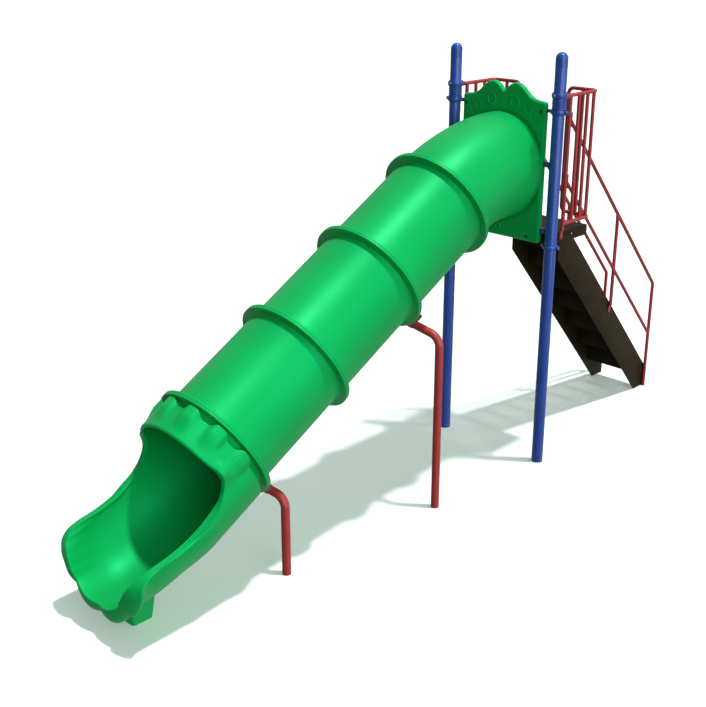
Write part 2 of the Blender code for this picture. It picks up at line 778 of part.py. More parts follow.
def build_deck():
    half = POST_X - RAIL_RADIUS - GAP
    front = PANEL_HALF_THICKNESS + GAP
    outline = (
        (-DECK_NOTCH_X, front), (DECK_NOTCH_X, front), (DECK_NOTCH_X, DECK_NOTCH_Y), (half, DECK_NOTCH_Y),
        (half, DECK_REAR), (-half, DECK_REAR), (-half, DECK_NOTCH_Y), (-DECK_NOTCH_X, DECK_NOTCH_Y),
    )
    deck = bmesh.new()
    low = [deck.verts.new((x, y, DECK_TOP - DECK_SKIRT)) for x, y in outline]
    high = [deck.verts.new((x, y, DECK_TOP)) for x, y in outline]
    deck.faces.new(low)
    deck.faces.new(high[::-1])
    bridge(deck, low, high)
    made = node("deck", deck, BROWN)
    sheet = DECK_SHEET
    bottom = DECK_TOP - 2 * DECK_SKIRT
    hollow = bmesh.new()
    add_box(
        hollow, (-DECK_NOTCH_X + sheet, front + sheet, bottom),
        (DECK_NOTCH_X - sheet, DECK_REAR - sheet, DECK_TOP - sheet),
    )
    boolean(made, guide("deck_hollow", hollow), "DIFFERENCE")


def top_edge(height):
    """Place along Y of the stringers' top edge at a height."""
    return STRINGER_TOP_POINT[0] - (height - STRINGER_TOP_POINT[1]) / STAIR_PITCH


def edge_height(along, depth=0.0):
    """Height of the stringers' top edge at a place along Y, or of a line below it."""
    return STRINGER_TOP_POINT[1] - depth - STAIR_PITCH * (along - STRINGER_TOP_POINT[0])


def build_stair():
    ceiling = DECK_TOP - DECK_SKIRT - GAP
    outline = (
        (STRINGER_FRONT, edge_height(STRINGER_FRONT, STRINGER_DEPTH)), (STRINGER_FRONT, ceiling),
        (top_edge(ceiling), ceiling), (STRINGER_REAR, edge_height(STRINGER_REAR)), (STRINGER_REAR, 0),
        (top_edge(STRINGER_DEPTH), 0),
    )
    inner = STAIR_HALF_WIDTH - STRINGER_THICKNESS
    for label, side in (("left", -1), ("right", 1)):
        stringer = bmesh.new()
        prism(stringer, outline, side * inner, side * STAIR_HALF_WIDTH)
        node(f"stair_stringer_{label}", stringer, BROWN)
    rise = DECK_TOP / RISER_COUNT
    half = inner - GAP
    for number in range(1, RISER_COUNT):
        height = rise * number
        nose = top_edge(height) - TREAD_SETBACK
        rear = nose - TREAD_GOING
        under = height - TREAD_THICKNESS
        riser_top = min(under + rise - GAP, ceiling)
        if number < RISER_COUNT - 1:
            riser_rear = rear
        else:
            riser_rear = max(rear, STRINGER_FRONT)
        step = bmesh.new()
        profile = (
            (nose, under), (nose, height), (riser_rear + RISER_THICKNESS, height),
            (riser_rear + RISER_THICKNESS, riser_top), (riser_rear, riser_top), (riser_rear, under),
        )
        prism(step, profile, -half, half)
        node(f"stair_tread_{number}", step, BROWN)


def build_guards():
    for label, side in (("left", -1), ("right", 1)):
        line, end = side * POST_X, side * GUARD_RETURN_X
        corners = (
            (line, EAR_REACH + GAP, GUARD_TOP), (line, GUARD_REAR, GUARD_TOP), (end, GUARD_REAR, GUARD_TOP),
            (end, GUARD_REAR, GUARD_BOTTOM), (line, GUARD_REAR, GUARD_BOTTOM),
            (line, GUARD_FIRST_Y, GUARD_BOTTOM),
        )
        frame = bmesh.new()
        add_pipe(frame, rounded_path(corners, RAIL_BEND, RAIL_BEND_STEPS), RAIL_RADIUS, RAIL_SIDES)
        guard = node(f"guardrail_{label}", frame, RED)
        bars = bmesh.new()
        places = [(line, GUARD_FIRST_Y + GUARD_BAR_PITCH * step) for step in range(1, 3)]
        places += [(line, GUARD_REAR - RAIL_BEND), (side * GUARD_RETURN_BAR_X, GUARD_REAR)]
        for x, y in places:
            add_pipe(bars, [Vector((x, y, GUARD_BOTTOM)), Vector((x, y, GUARD_TOP))], BAR_RADIUS, BAR_SIDES)
        add_pipe(
            bars, [Vector((line, GUARD_FIRST_Y, GUARD_FOOT_Z)), Vector((line, GUARD_FIRST_Y, GUARD_TOP))],
            RAIL_RADIUS, BAR_SIDES,
        )
        boolean(guard, guide(f"guard_bars_{label}", bars), "UNION")


def rail_line(along, drop=0.0):
    """Height of the sloping top rail at a place along Y, or of a line below it."""
    return HANDRAIL_CORNER[1] - drop + HANDRAIL_PITCH * (HANDRAIL_CORNER[0] - along)


def build_handrails():
    start = GUARD_REAR + RAIL_RADIUS + GAP
    rail_start = start + 2 * RAIL_PLATE_THICKNESS
    corner_y, corner_z = HANDRAIL_CORNER
    for label, side in (("left", -1), ("right", 1)):
        line = side * (STAIR_HALF_WIDTH + GAP + RAIL_RADIUS)
        top = bmesh.new()
        corners = ((line, rail_start, rail_line(rail_start)), (line, corner_y, corner_z), (line, corner_y, 0))
        add_pipe(top, rounded_path(corners, RAIL_BEND, RAIL_BEND_STEPS), RAIL_RADIUS, RAIL_SIDES)
        handrail = node(f"handrail_{label}", top, RED)
        rest = bmesh.new()
        middle = [
            Vector((line, rail_start, rail_line(rail_start, MIDRAIL_DROP))),
            Vector((line, corner_y, rail_line(corner_y, MIDRAIL_DROP))),
        ]
        add_pipe(rest, middle, BAR_RADIUS, RAIL_SIDES)
        boolean(handrail, guide(f"handrail_middle_{label}", rest), "UNION")
        post = bmesh.new()
        ends = (MIDDLE_POST_FOOT, rail_line(MIDDLE_POST_Y))
        add_pipe(post, [Vector((line, MIDDLE_POST_Y, height)) for height in ends], RAIL_RADIUS, RAIL_SIDES)
        for drop in (0.0, MIDRAIL_DROP):
            height = rail_line(rail_start, drop)
            add_box(
                post,
                (line - RAIL_PLATE_HALF_WIDTH, start, height - RAIL_PLATE_HALF_HEIGHT),
                (line + RAIL_PLATE_HALF_WIDTH, start + RAIL_PLATE_THICKNESS, height + RAIL_PLATE_HALF_HEIGHT),
            )
        boolean(handrail, guide(f"handrail_post_{label}", post), "UNION")


build_posts()
build_clamps()
build_panel()
build_elbow()
build_sections()
build_exit()
support("mid", MID_SUPPORT_FOOT, 2)
support("low", LOW_SUPPORT_FOOT, 4)
build_deck()
build_stair()
build_guards()
build_handrails()
centre_on_origin()
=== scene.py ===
"""Looks for the tube playground slide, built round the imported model. Metres, +Z up.

Sizes are in the layout of the part's own source: the posts on the line y = 0, the slide towards -Y and
the stair towards +Y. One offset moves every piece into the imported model's frame.
"""
from math import atan2, cos, degrees, exp, hypot, pi, radians, sin, sqrt, tan

import bmesh
import bpy
from mathutils import Matrix, Vector
from mathutils.bvhtree import BVHTree


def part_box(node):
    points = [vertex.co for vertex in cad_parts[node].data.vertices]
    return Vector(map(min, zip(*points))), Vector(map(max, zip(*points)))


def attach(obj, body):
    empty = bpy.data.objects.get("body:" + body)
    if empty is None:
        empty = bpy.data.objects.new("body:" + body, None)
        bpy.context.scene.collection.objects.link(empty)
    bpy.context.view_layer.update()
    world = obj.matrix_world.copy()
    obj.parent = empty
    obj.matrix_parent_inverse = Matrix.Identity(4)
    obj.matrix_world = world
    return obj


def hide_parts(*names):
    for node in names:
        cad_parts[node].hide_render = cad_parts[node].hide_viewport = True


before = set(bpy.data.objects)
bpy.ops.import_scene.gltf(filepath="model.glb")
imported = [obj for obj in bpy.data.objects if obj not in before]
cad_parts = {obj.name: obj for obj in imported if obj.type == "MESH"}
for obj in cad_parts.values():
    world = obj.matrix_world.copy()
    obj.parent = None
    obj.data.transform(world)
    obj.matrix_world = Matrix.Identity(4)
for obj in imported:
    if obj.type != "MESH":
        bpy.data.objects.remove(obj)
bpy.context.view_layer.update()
post_low, post_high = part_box("post_left")
OFFSET = Vector((0, (post_low.y + post_high.y) / 2, 0))

GAP = 0.0003
SIDES = (("left", -1), ("right", 1))

# Posts and caps
POST_X = 0.4826
POST_RADIUS = 0.04445
POST_TOP = 3.145
CAP_TOP = 3.200
CAP_RADIUS = 0.0450
CAP_SKIRT = 0.052
CAP_EDGE = 0.012

# Tube
TUBE_INNER = 0.381
TUBE_OUTER = 0.3872
SLOPE = radians(29.4)
FLANGE_RADIUS = 0.445
FLANGE_THICK = 0.018
FLANGE_ROOT = 0.012
FLANGE_EDGE = 0.005
SEAM_EDGE = 0.0025
JOINT_PITCH = 0.8065
FIRST_JOINT = Vector((0, -0.7672, 2.1526))
SECTION_COUNT = 3
TUBE_SIDES = 144
BOLTS_PER_JOINT = 12
BOLT_CIRCLE = 0.427

# Elbow
ENTRY_Z = 2.336
ELBOW_MOUTH = (0.375, 0.403)
ELBOW_BEND_RINGS = 28
ELBOW_STRAIGHT = 0.004
ELBOW_FIRST_RING = 0.014
ELBOW_END = 0.040
# Rounded edge at the panel: distance from it and how far the edge stands in
ELBOW_EDGE = ((0, 0.0045), (0.0008, 0.0028), (0.0024, 0.0012), (0.005, 0.0), (0.012, 0.0))

# Entrance panel
PANEL_HALF_WIDTH = 0.382
PANEL_HALF = 0.026
PANEL_HOLE = 0.352
PANEL_ROUNDING = 0.017
PANEL_RECESS = 0.010
# Outside the tube's mouth: where the recess ends, and the room that it needs up to the edge
RECESS_RUN = (0.003, 0.024)
RECESS_ROOM = (0.004, 0.034)
# Right half of the edge: corners in (x, z) with their rounding, from the bottom up to the valley
PANEL_CORNERS = (
    (0.382, 1.786, 0.016), (0.382, 2.836, 0.022), (0.290, 2.846, 0.120), (0.240, 2.868, 0.120),
    (0.178, 2.925, 0.100), (0.135, 2.953, 0.070), (0.085, 2.955, 0.060), (0.040, 2.928, 0.070),
)
PANEL_VALLEY = (0, 2.884, 0.008)
# Raised rings: distance from the tube's centre, angle from the vertical, outer radius
PANEL_RINGS = ((0.494, 12.5, 0.045), (0.487, 28, 0.036), (0.494, 40, 0.026))
PANEL_LOW_RING = (0.482, 180, 0.030)
PANEL_RING_WIDTH = 0.014
PANEL_RING_HEIGHT = 0.006
PANEL_BOLTS = ((0.348, 2.767), (0.274, 1.824))
PANEL_EDGE_POINTS = 420

# Exit chute
EXIT_BEND = 0.955
EXIT_FLOOR_Z = 0.175
FLUTES = 12
HOOD_START = 0.052
HOOD_SCALLOP = 0.034
HOOD_RAMP = 0.014
HOOD_FADE_ANGLES = (-12, 18)
HOOD_RISE = 0.022
HOOD_FLUTE = 0.028
HOOD_FLUTE_RUN = (0.085, 0.220)
HOOD_ROLL = 0.018
SHELL_RISE = 0.043
SHELL_FRONT = 0.014
SHELL_TAPER = (0.50, 0.74)
LIP_FLARE = (0.044, 0.064)
LIP_FLARE_ANGLES = (-8, -24)
LIP_NOTCH_DROP = ((-34, 0.016), (-56, 0.024), (-91, 0.036))
RIM_EDGE = 0.0060
RIM_EDGE_ANGLES = (-8, -24)
# How far the lip's outside edge lies behind its crest: angle and distance
LIP_TILT = (
    (90, 0.0), (20, 0.0), (2, 0.004), (-8, 0.008), (-20, 0.026), (-32, 0.032), (-56, 0.030), (-91, 0.022),
)
# The spout narrows towards the lip: angle and how far its crest stands inside the tube's skin
CREST_INSET = (
    (90, 0.0), (2, 0.0), (-5, 0.009), (-10, 0.027), (-20, 0.050), (-30, 0.057), (-40, 0.052), (-52, 0.036),
    (-91, 0.036),
)
CREST_RUN = 0.22
EAR_RISE = 0.036
EAR_ANGLE = 20
EAR_WIDTH = 9
EAR_RUN = (0.13, 0.21)
RIDGE_HEIGHT = 0.0050
RIDGE_PITCH = 3.8
RIDGE_ANGLES = (-6, -9, -19, -22)
RIDGE_RUN = (0.38, 0.50, 0.86, 1.00)
LIP_WIDTH = 0.085
LIP_NOTCH = 0.014
LIP_LOBE = 38
LIP_NOTCH_ANGLES = (-34, -50)
EXIT_COLUMNS = (60, 80, 54)
HOOD_EDGE = 22.5
RIM_STEPS = 480
EXIT_RIM = (
    (0.246, 90), (0.251, 45), (0.243, 22), (0.262, 12), (0.330, 3), (0.400, -2), (0.500, -5), (0.600, -6),
    (0.700, -5), (0.800, -3.8), (0.890, -3), (0.965, -5), (1.012, -9.5), (1.042, -15), (1.060, -23),
    (1.068, -34), (1.073, -50), (1.073, -90),
)
# Distances of the rows from the hood's back edge and from the rim
EXIT_NEAR_ROWS = (0, 0.0015, 0.003, 0.005, 0.007, 0.009, 0.011, 0.0135, 0.017, 0.021, 0.026)
EXIT_RIM_ROWS = (0.088, 0.076, 0.064, 0.053, 0.043, 0.034, 0.026, 0.019, 0.013, 0.008, 0.004, 0)
EXIT_MIDDLE_ROWS = 26
# Rounded and slightly grooved end of the wall: share of its thickness, how far it stands out
RIM_SECTION = (
    (1, 0.0008), (0.985, 0.0022), (0.95, 0.0046), (0.88, 0.0060), (0.80, 0.0044), (0.70, 0.0012),
    (0.62, 0.0024), (0.55, 0.0056), (0.45, 0.0056), (0.38, 0.0024), (0.30, 0.0012), (0.20, 0.0044),
    (0.12, 0.0060), (0.07, 0.0052), (0.035, 0.0038), (0.015, 0.0022), (0.005, 0.0014), (0, 0.0008),
)
RIM_SETBACK = 0.012
FOOT_CENTRE_Y = -3.566
FOOT_BOTTOM = (0.085, 0.076)
FOOT_TOP = (0.110, 0.104)
FOOT_CORNER = 0.020

# Bent supports
SUPPORT_RADIUS = 0.03015
SUPPORT_BEND = 0.095
ARM_SLOPE = 0.25
ARM_TIP_X = 0.130
ARM_STANDOFF = 0.0575
ARM_DEPTH = 0.4393
MID_SUPPORT_FOOT = (0.402, -1.167)
LOW_SUPPORT_FOOT = (0.3056, -2.565)
SADDLE_THICK = 0.006
SADDLE_INNER = 0.405
SADDLE_OUTER = 0.462
SADDLE_ANGLES = (-104, -38)
BOLT_ANGLES = (-90, -60)
SOCKET_LENGTH = 0.060
SOCKET_WALL = 0.004
SOCKET_END = 0.006
SOCKET_BOLT = 0.033

# Clamps round the posts
CLAMP_SLEEVE = 0.0485
CLAMP_RING = 0.0584
CLAMP_RIB = 0.0530
RIB_COUNT = 5
# Half widths of a rib at its foot and its crown, as shares of the ribs' pitch
RIB_FOOT = 0.32
RIB_CROWN = 0.2
RING_HEIGHT = 0.026
UPPER_RING_Z = 2.899
LOWER_RING_Z = 2.779
DECK_RING_Z = 1.776
CLAMP_OVERHANG = 0.010
EAR_ROOT = 0.047
EAR_HALF = 0.006
EAR_REACH = 0.0855
BOLT_REACH = 0.071
INNER_BOLT_REACH = 0.068
CLIP_HEIGHTS = {"upper": 2.388, "lower": 1.885}
CLIP_HALF_HEIGHT = 0.020
CLIP_HALF_DEPTH = 0.010
CLIP_BOLT_REACH = 0.028

# Deck
DECK_TOP = 1.857
DECK_SKIRT = 0.080
DECK_SHEET = 0.004
DECK_REAR = 0.511
DECK_NOTCH_X = 0.420
DECK_NOTCH_Y = 0.062
DECK_EDGE = 0.010
DECK_CELLS = (23, 12)
DECK_HOLE = 0.0065
DECK_CORNER = 0.012
NOTCH_CORNER = 0.003
# Hole in each side of the skirt: its place in (y, z), then the radius and reach of the drill
SIDE_HOLE = (0.298, 1.818)
DRILL = (0.0085, 0.02)

# Rails
RAIL_RADIUS = 0.0145
BAR_RADIUS = 0.0135
RAIL_BEND = 0.045
GUARD_TOP = 2.884
GUARD_BOTTOM = 1.929
GUARD_FIRST_Y = 0.143
GUARD_BAR_PITCH = 0.110
GUARD_REAR = 0.490
GUARD_RETURN_X = 0.229
GUARD_RETURN_BAR_X = 0.358
GUARD_FOOT_Z = 1.808
FLAT_HALF = 0.005
FLAT_HALF_WIDTH = 0.0195
FLAT_LENGTH = 0.045
FLAT_TAPER = 0.030
FLAT_TIP = 0.012
GUARD_FRONT_Y = 0.056
GUARD_FOOT_SHIFT = -0.006
GUARD_BOLT_UP = 0.024

# Stair
STAIR_HALF = 0.229
STRINGER_THICK = 0.006
STAIR_PITCH = 1.108
STRINGER_TOP = (1.3735, 0.918)
STRINGER_DEPTH = 0.372
STRINGER_REAR = 2.030
STRINGER_FRONT = 0.4903
RISER_COUNT = 8
TREAD_FOLD = 0.030
TREAD_SHEET = 0.004
TREAD_SETBACK = 0.015
TREAD_GOING = 0.215
RISER_THICK = 0.006
FOLD_DEPTH = 0.016
TREAD_CELLS = (12, 5)
TREAD_HOLE = 0.0065
TREAD_MARGINS = (0.018, 0.008)

# Handrails
HANDRAIL_CORNER = (2.010, 0.998)
HANDRAIL_PITCH = 1.097
MIDRAIL_DROP = 0.480
MIDDLE_POST_Y = 1.318
MIDDLE_POST_FOOT = 0.885
PLATE_HALF_WIDTH = 0.022
PLATE_HALF_HEIGHT = 0.055
PLATE_THICK = 0.006
PLATE_BOLT_REACH = 0.038
RAIL_BOLT_UP = 0.022

# Fasteners: radius or half width, height and washer radius
CLAMP_BOLT = (0.0085, 0.006, 0.0115)
CLAMP_NUT = (0.009, 0.0075, 0.0115)
JOINT_BOLT = (0.0070, 0.0050, 0.0088)
JOINT_NUT = (0.0070, 0.0050, 0.0085)
PANEL_BOLT = (0.009, 0.005, 0.0135)
SADDLE_BOLT = (0.008, 0.006, 0.010)
PLATE_BOLT = (0.0075, 0.0055, 0.010)

# Stage
FLOOR_REACH = 150
# Name, direction it comes from, strength and width in degrees
LAMPS = (("overhead", (0.176, 0.133, 0.975), 2.6, 3.0), ("side_fill", (0.93, -0.28, 0.20), 2.0, 60))
# Strength of the studio's surroundings on the side of the exit and on the side of the stair
WORLD_FRONT = 0.10
WORLD_REAR = 0.50
WORLD_TURN = (-0.9, 0.2)
WORLD_COLOUR = (0.88, 1.0, 0.94, 1)
CAMERA_PLACE = Vector((5.2269, -6.9556, 4.0524))
CAMERA_YAW = radians(-44.43)
CAMERA_PITCH = radians(20.70)
CAMERA_LENS = 58.01

ACROSS = Vector((1, 0, 0))
UP = Vector((0, 0, 1))
REARWARD = Vector((0, 1, 0))
DOWN = Vector((0, -cos(SLOPE), -sin(SLOPE)))


def lean(turn):
    """Up-facing normal of a line that slopes down by an angle."""
    return Vector((0, -sin(turn), cos(turn)))


NORMAL = lean(SLOPE)


# Materials

def fill(tree, target, **inputs):
    """Set a node's inputs, or link them where a socket is given; _ stands for a space."""
    for name, value in inputs.items():
        socket = target.inputs[name.replace("_", " ")]
        if isinstance(value, bpy.types.NodeSocket):
            tree.links.new(value, socket)
        else:
            socket.default_value = value
    return target


def node(tree, kind, **inputs):
    return fill(tree, tree.nodes.new("ShaderNode" + kind), **inputs)


def noise(tree, place, scale, detail):
    return node(tree, "TexNoise", Scale=scale, Detail=detail, Vector=place).outputs["Fac"]


def colour_between(tree, place, scale, low, high):
    """A soft procedural blend between two colours."""
    ramp = node(tree, "ValToRGB", Fac=noise(tree, place, scale, 3))
    for stop, position, colour in zip(ramp.color_ramp.elements, (0.3, 0.7), (low, high)):
        stop.position = position
        stop.color = (*colour, 1)
    return ramp.outputs["Color"]


def new_material(name):
    """A material, its node tree and the coordinates that its patterns use."""
    made = bpy.data.materials.new(name)
    made.use_nodes = True
    return made, made.node_tree, node(made.node_tree, "TexCoord").outputs["Object"]


def finish(name, slot, low, high, roughness, patch_scale, grains, **settings):
    """A surface with mottled colour, uneven gloss and layered bump."""
    made, tree, place = new_material(name)
    least, most = roughness
    gloss = node(tree, "MapRange", Value=noise(tree, place, patch_scale * 3, 4), To_Min=least, To_Max=most)
    normal = None
    for scale, detail, distance, strength in grains:
        grain = noise(tree, place, scale, detail)
        bump = node(tree, "Bump", Distance=distance, Strength=strength, Height=grain)
        if normal:
            fill(tree, bump, Normal=normal)
        normal = bump.outputs["Normal"]
    fill(
        tree, tree.nodes["Principled BSDF"], Base_Color=colour_between(tree, place, patch_scale, low, high),
        Roughness=gloss.outputs["Result"], Normal=normal, **settings,
    )
    return made


GREEN = finish(
    "moulded_green", "green_plastic", (0.002, 0.37, 0.076), (0.003, 0.41, 0.088), (0.42, 0.50), 2.2,
    ((260, 2, 0.0004, 0.25),), Specular_IOR_Level=0.95, Specular_Tint=(0.03, 1.0, 0.40, 1),
)
BLUE = finish(
    "painted_blue", "blue_paint", (0.022, 0.068, 0.36), (0.029, 0.086, 0.42), (0.24, 0.32), 5,
    ((420, 2, 0.0003, 0.35),),
)
RED = finish(
    "painted_red", "red_coating", (0.37, 0.032, 0.036), (0.45, 0.043, 0.048), (0.34, 0.44), 6,
    ((380, 2, 0.0003, 0.35),), Specular_IOR_Level=0.4,
)
BROWN = finish(
    "coated_brown", "brown_coating", (0.023, 0.014, 0.0055), (0.032, 0.020, 0.008), (0.42, 0.55), 7,
    ((150, 2, 0.0008, 0.40), (600, 1, 0.0002, 0.30)), Specular_IOR_Level=0.10,
)
ZINC = finish(
    "zinc_bolts", None, (0.20, 0.21, 0.22), (0.32, 0.33, 0.34), (0.45, 0.60), 60,
    ((900, 2, 0.0002, 0.30),), Metallic=1.0,
)
DARK = finish(
    "dark_bolts", None, (0.002, 0.055, 0.018), (0.004, 0.080, 0.026), (0.40, 0.52), 60,
    ((900, 2, 0.0002, 0.30),),
)


# Mesh building

def add_object(name, data):
    made = bpy.data.objects.new(name, data)
    bpy.context.scene.collection.objects.link(made)
    return made


def object_from(name, bm):
    mesh = bpy.data.meshes.new(name)
    bm.to_mesh(mesh)
    bm.free()
    return add_object(name, mesh)


def clean(bm):
    bmesh.ops.remove_doubles(bm, verts=bm.verts, dist=1e-6)
    bmesh.ops.recalc_face_normals(bm, faces=bm.faces)


def piece(name, bm, material, node_name=None, sharp_angle=38):
    """One object that rides on the slide, moved from the layout into the model's frame."""
    clean(bm)
    bmesh.ops.translate(bm, verts=bm.verts, vec=OFFSET)
    made = object_from(name, bm)
    made.data.shade_smooth()
    made.data.set_sharp_from_angle(angle=radians(sharp_angle))
    made.data.materials.append(material)
    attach(made, "root")
    if node_name:
        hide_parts(node_name)


def smoothstep(low, high, value):
    ratio = min(max((value - low) / (high - low), 0.0), 1.0)
    return ratio * ratio * (3 - 2 * ratio)


def ring_of(bm, centre, first, second, radius, sides):
    angles = [2 * pi * index / sides for index in range(sides)]
    return [bm.verts.new(centre + (first * cos(a) + second * sin(a)) * radius) for a in angles]


def bridge(bm, lower, upper):
    for corners in zip(lower, lower[1:] + lower[:1], upper[1:] + upper[:1], upper):
        bm.faces.new(corners)


def join_rings(bm, rings, closed=False):
    """Faces from each ring to the next, and from the last to the first where closed."""
    for lower, upper in zip(rings, rings[1:] + rings[:1] * closed):
        bridge(bm, lower, upper)


def fan(bm, tip, circle):
    for before, after in zip(circle, circle[1:] + circle[:1]):
        bm.faces.new((tip, before, after))


def turned(bm, profile, centre, axis, first, sides, closed=False):
    """Turn a profile of (radius, distance along the axis); radius 0 closes the end."""
    second = axis.cross(first)
    rings = []
    for radius, along in profile:
        place = centre + axis * along
        if radius == 0:
            rings.append(bm.verts.new(place))
        else:
            rings.append(ring_of(bm, place, first, second, radius, sides))
    for lower, upper in zip(rings, rings[1:] + rings[:1] * closed):
        if isinstance(lower, list) and isinstance(upper, list):
            bridge(bm, lower, upper)
        elif isinstance(upper, list):
            fan(bm, lower, upper)
        else:
            fan(bm, upper, lower)


def mirrored(right, between=()):
    """A closed outline from the corners of its right half and those between the halves."""
    return [*right, *between, *((-x, y, rounding) for x, y, rounding in reversed(right))]


def evenly(points, steps):
    """The same line as steps of one length."""
    lengths = [0.0]
    for before, after in zip(points, points[1:]):
        lengths.append(lengths[-1] + (after - before).length)
    even, index = [], 0
    for step in range(steps + 1):
        target = lengths[-1] * step / steps
        while index < len(points) - 2 and lengths[index + 1] < target:
            index += 1
        span = max(lengths[index + 1] - lengths[index], 1e-9)
        even.append(points[index].lerp(points[index + 1], (target - lengths[index]) / span))
    return even


def arc(before, corner, after, radius, steps):
    """Points of the arc that rounds a corner off."""
    back, ahead = (before - corner).normalized(), (after - corner).normalized()
    half = back.angle(ahead) / 2
    middle = corner + (back + ahead).normalized() * radius / sin(half)
    start = corner + back * radius / tan(half) - middle
    end = corner + ahead * radius / tan(half) - middle
    sweep, axis = start.angle(end), start.cross(end).normalized()
    return [middle + Matrix.Rotation(sweep * step / steps, 3, axis) @ start for step in range(steps + 1)]


def rounded(corners, steps=4, closed=False):
    """Points of an outline whose corners are (x, y, rounding)."""
    points = []
    places = [Vector((x, y, 0)) for x, y, rounding in corners]
    ends = () if closed else (0, len(corners) - 1)
    for index, (x, y, rounding) in enumerate(corners):
        if rounding and index not in ends:
            after = places[(index + 1) % len(corners)]
            bend = arc(places[index - 1], places[index], after, rounding, steps)
            points += [tuple(point[:2]) for point in bend]
        else:
            points.append((x, y))
    return points


def rounded_path(corners, radius, steps=14):
    """Points in space along straight runs joined by arcs of one radius."""
    places = [Vector(corner) for corner in corners]
    arcs = [arc(*three, radius, steps) for three in zip(places, places[1:], places[2:])]
    return [places[0], *(point for points in arcs for point in points), places[-1]]


def add_pipe(bm, points, radius, sides=28, sections=None, side=None):
    """A round bar with closed ends; sections gives (thickness, width) where it is flattened."""
    before, after = points[:1] + points[:-1], points[1:] + points[-1:]
    directions = [(ahead - back).normalized() for back, ahead in zip(before, after)]
    side = side or directions[0].orthogonal().normalized()
    rings = []
    for index, direction in enumerate(directions):
        side = (side - direction * side.dot(direction)).normalized()
        thin, wide = sections[index] if sections else (radius, radius)
        rings.append(ring_of(bm, points[index], side * thin, direction.cross(side) * wide, 1, sides))
    join_rings(bm, rings)
    fan(bm, bm.verts.new(points[0]), rings[0])
    fan(bm, bm.verts.new(points[-1]), rings[-1])


def add_flat_ended(bm, start, end, shift, thin_side):
    """A straight rail whose far end is pressed flat and shifted sideways."""
    length = (end - start).length
    along = (end - start).normalized()
    points, sections = [start], [(RAIL_RADIUS, RAIL_RADIUS)]
    taper, flat = length - FLAT_LENGTH - FLAT_TAPER, length - FLAT_LENGTH
    places = [taper + FLAT_TAPER * step / 6 for step in range(7)]
    places += [flat + FLAT_LENGTH * step / 3 for step in range(1, 3)]
    for place in places + [length - 0.008, length - 0.003, length]:
        share = smoothstep(taper, flat, place)
        tip = max(0.0, (place - length + FLAT_TIP) / FLAT_TIP)
        wide = (RAIL_RADIUS + (FLAT_HALF_WIDTH - RAIL_RADIUS) * share) * sqrt(1 - 0.75 * tip * tip)
        thin = RAIL_RADIUS + (FLAT_HALF - RAIL_RADIUS) * share
        points.append(start + along * place + thin_side * shift * share)
        sections.append((thin, wide))
    add_pipe(bm, points, RAIL_RADIUS, 28, sections, thin_side)


def soften(bm, edges, rounding, segments=2):
    bmesh.ops.bevel(
        bm, geom=list(edges), offset=rounding, segments=segments, profile=0.5, affect="EDGES",
        clamp_overlap=True,
    )


def add_block(bm, low, high, rounding=0.002, segments=2):
    """A box with softened edges."""
    low, high = Vector(low), Vector(high)
    place = Matrix.Translation((low + high) / 2) @ Matrix.Diagonal((*(high - low), 1))
    made = bmesh.ops.create_cube(bm, size=1, matrix=place)
    soften(bm, dict.fromkeys(edge for vert in made["verts"] for edge in vert.link_edges), rounding, segments)


def add_prism(bm, outline, first, second, low, high, rounding=0.0015):
    """A plate between two copies of an outline that start from the places low and high."""
    ends = [[bm.verts.new(start + first * a + second * b) for a, b in outline] for start in (low, high)]
    bm.faces.new(ends[0])
    bm.faces.new(ends[1][::-1])
    bridge(bm, *ends)
    if rounding:
        rims = [set(end) for end in ends]
        soften(bm, [edge for rim in rims for edge in bm.edges if rim.issuperset(edge.verts)], rounding)


def add_bolt(bm, place, axis, head=0.009, height=0.006, washer=0.0125):
    """A button-head bolt on a washer, with its socket."""
    profile = [(0, -0.002), (washer, -0.002), (washer, 0.0012), (washer - 0.0006, 0.0018), (head, 0.0018)]
    for step in range(5):
        angle = pi / 2 * step / 5
        profile.append((head * (0.35 + 0.65 * cos(angle)), 0.0024 + (height - 0.0024) * sin(angle)))
    profile += [(head * 0.35, height), (head * 0.33, height - 0.002), (0, height - 0.0022)]
    turned(bm, profile, place, axis, axis.orthogonal().normalized(), 16)


def add_nut(bm, place, axis, size=0.0095, height=0.008, washer=0.0125, phase=0.0):
    """A six-sided nut on a washer, with the bolt's end in it."""
    first = Matrix.Rotation(phase, 3, axis) @ axis.orthogonal().normalized()
    turned(bm, [(0, -0.002), (washer, -0.002), (washer, 0.0018), (0, 0.0018)], place, axis, first, 16)
    nut, stud = (size, size * 0.88, height, 6), (size * 0.5, size * 0.4, height + 0.004, 12)
    for wide, top, end, sides in (nut, stud):
        profile = [(0, 0.001), (wide, 0.001), (wide, end - 0.001), (top, end), (0, end)]
        turned(bm, profile, place, axis, first, sides)


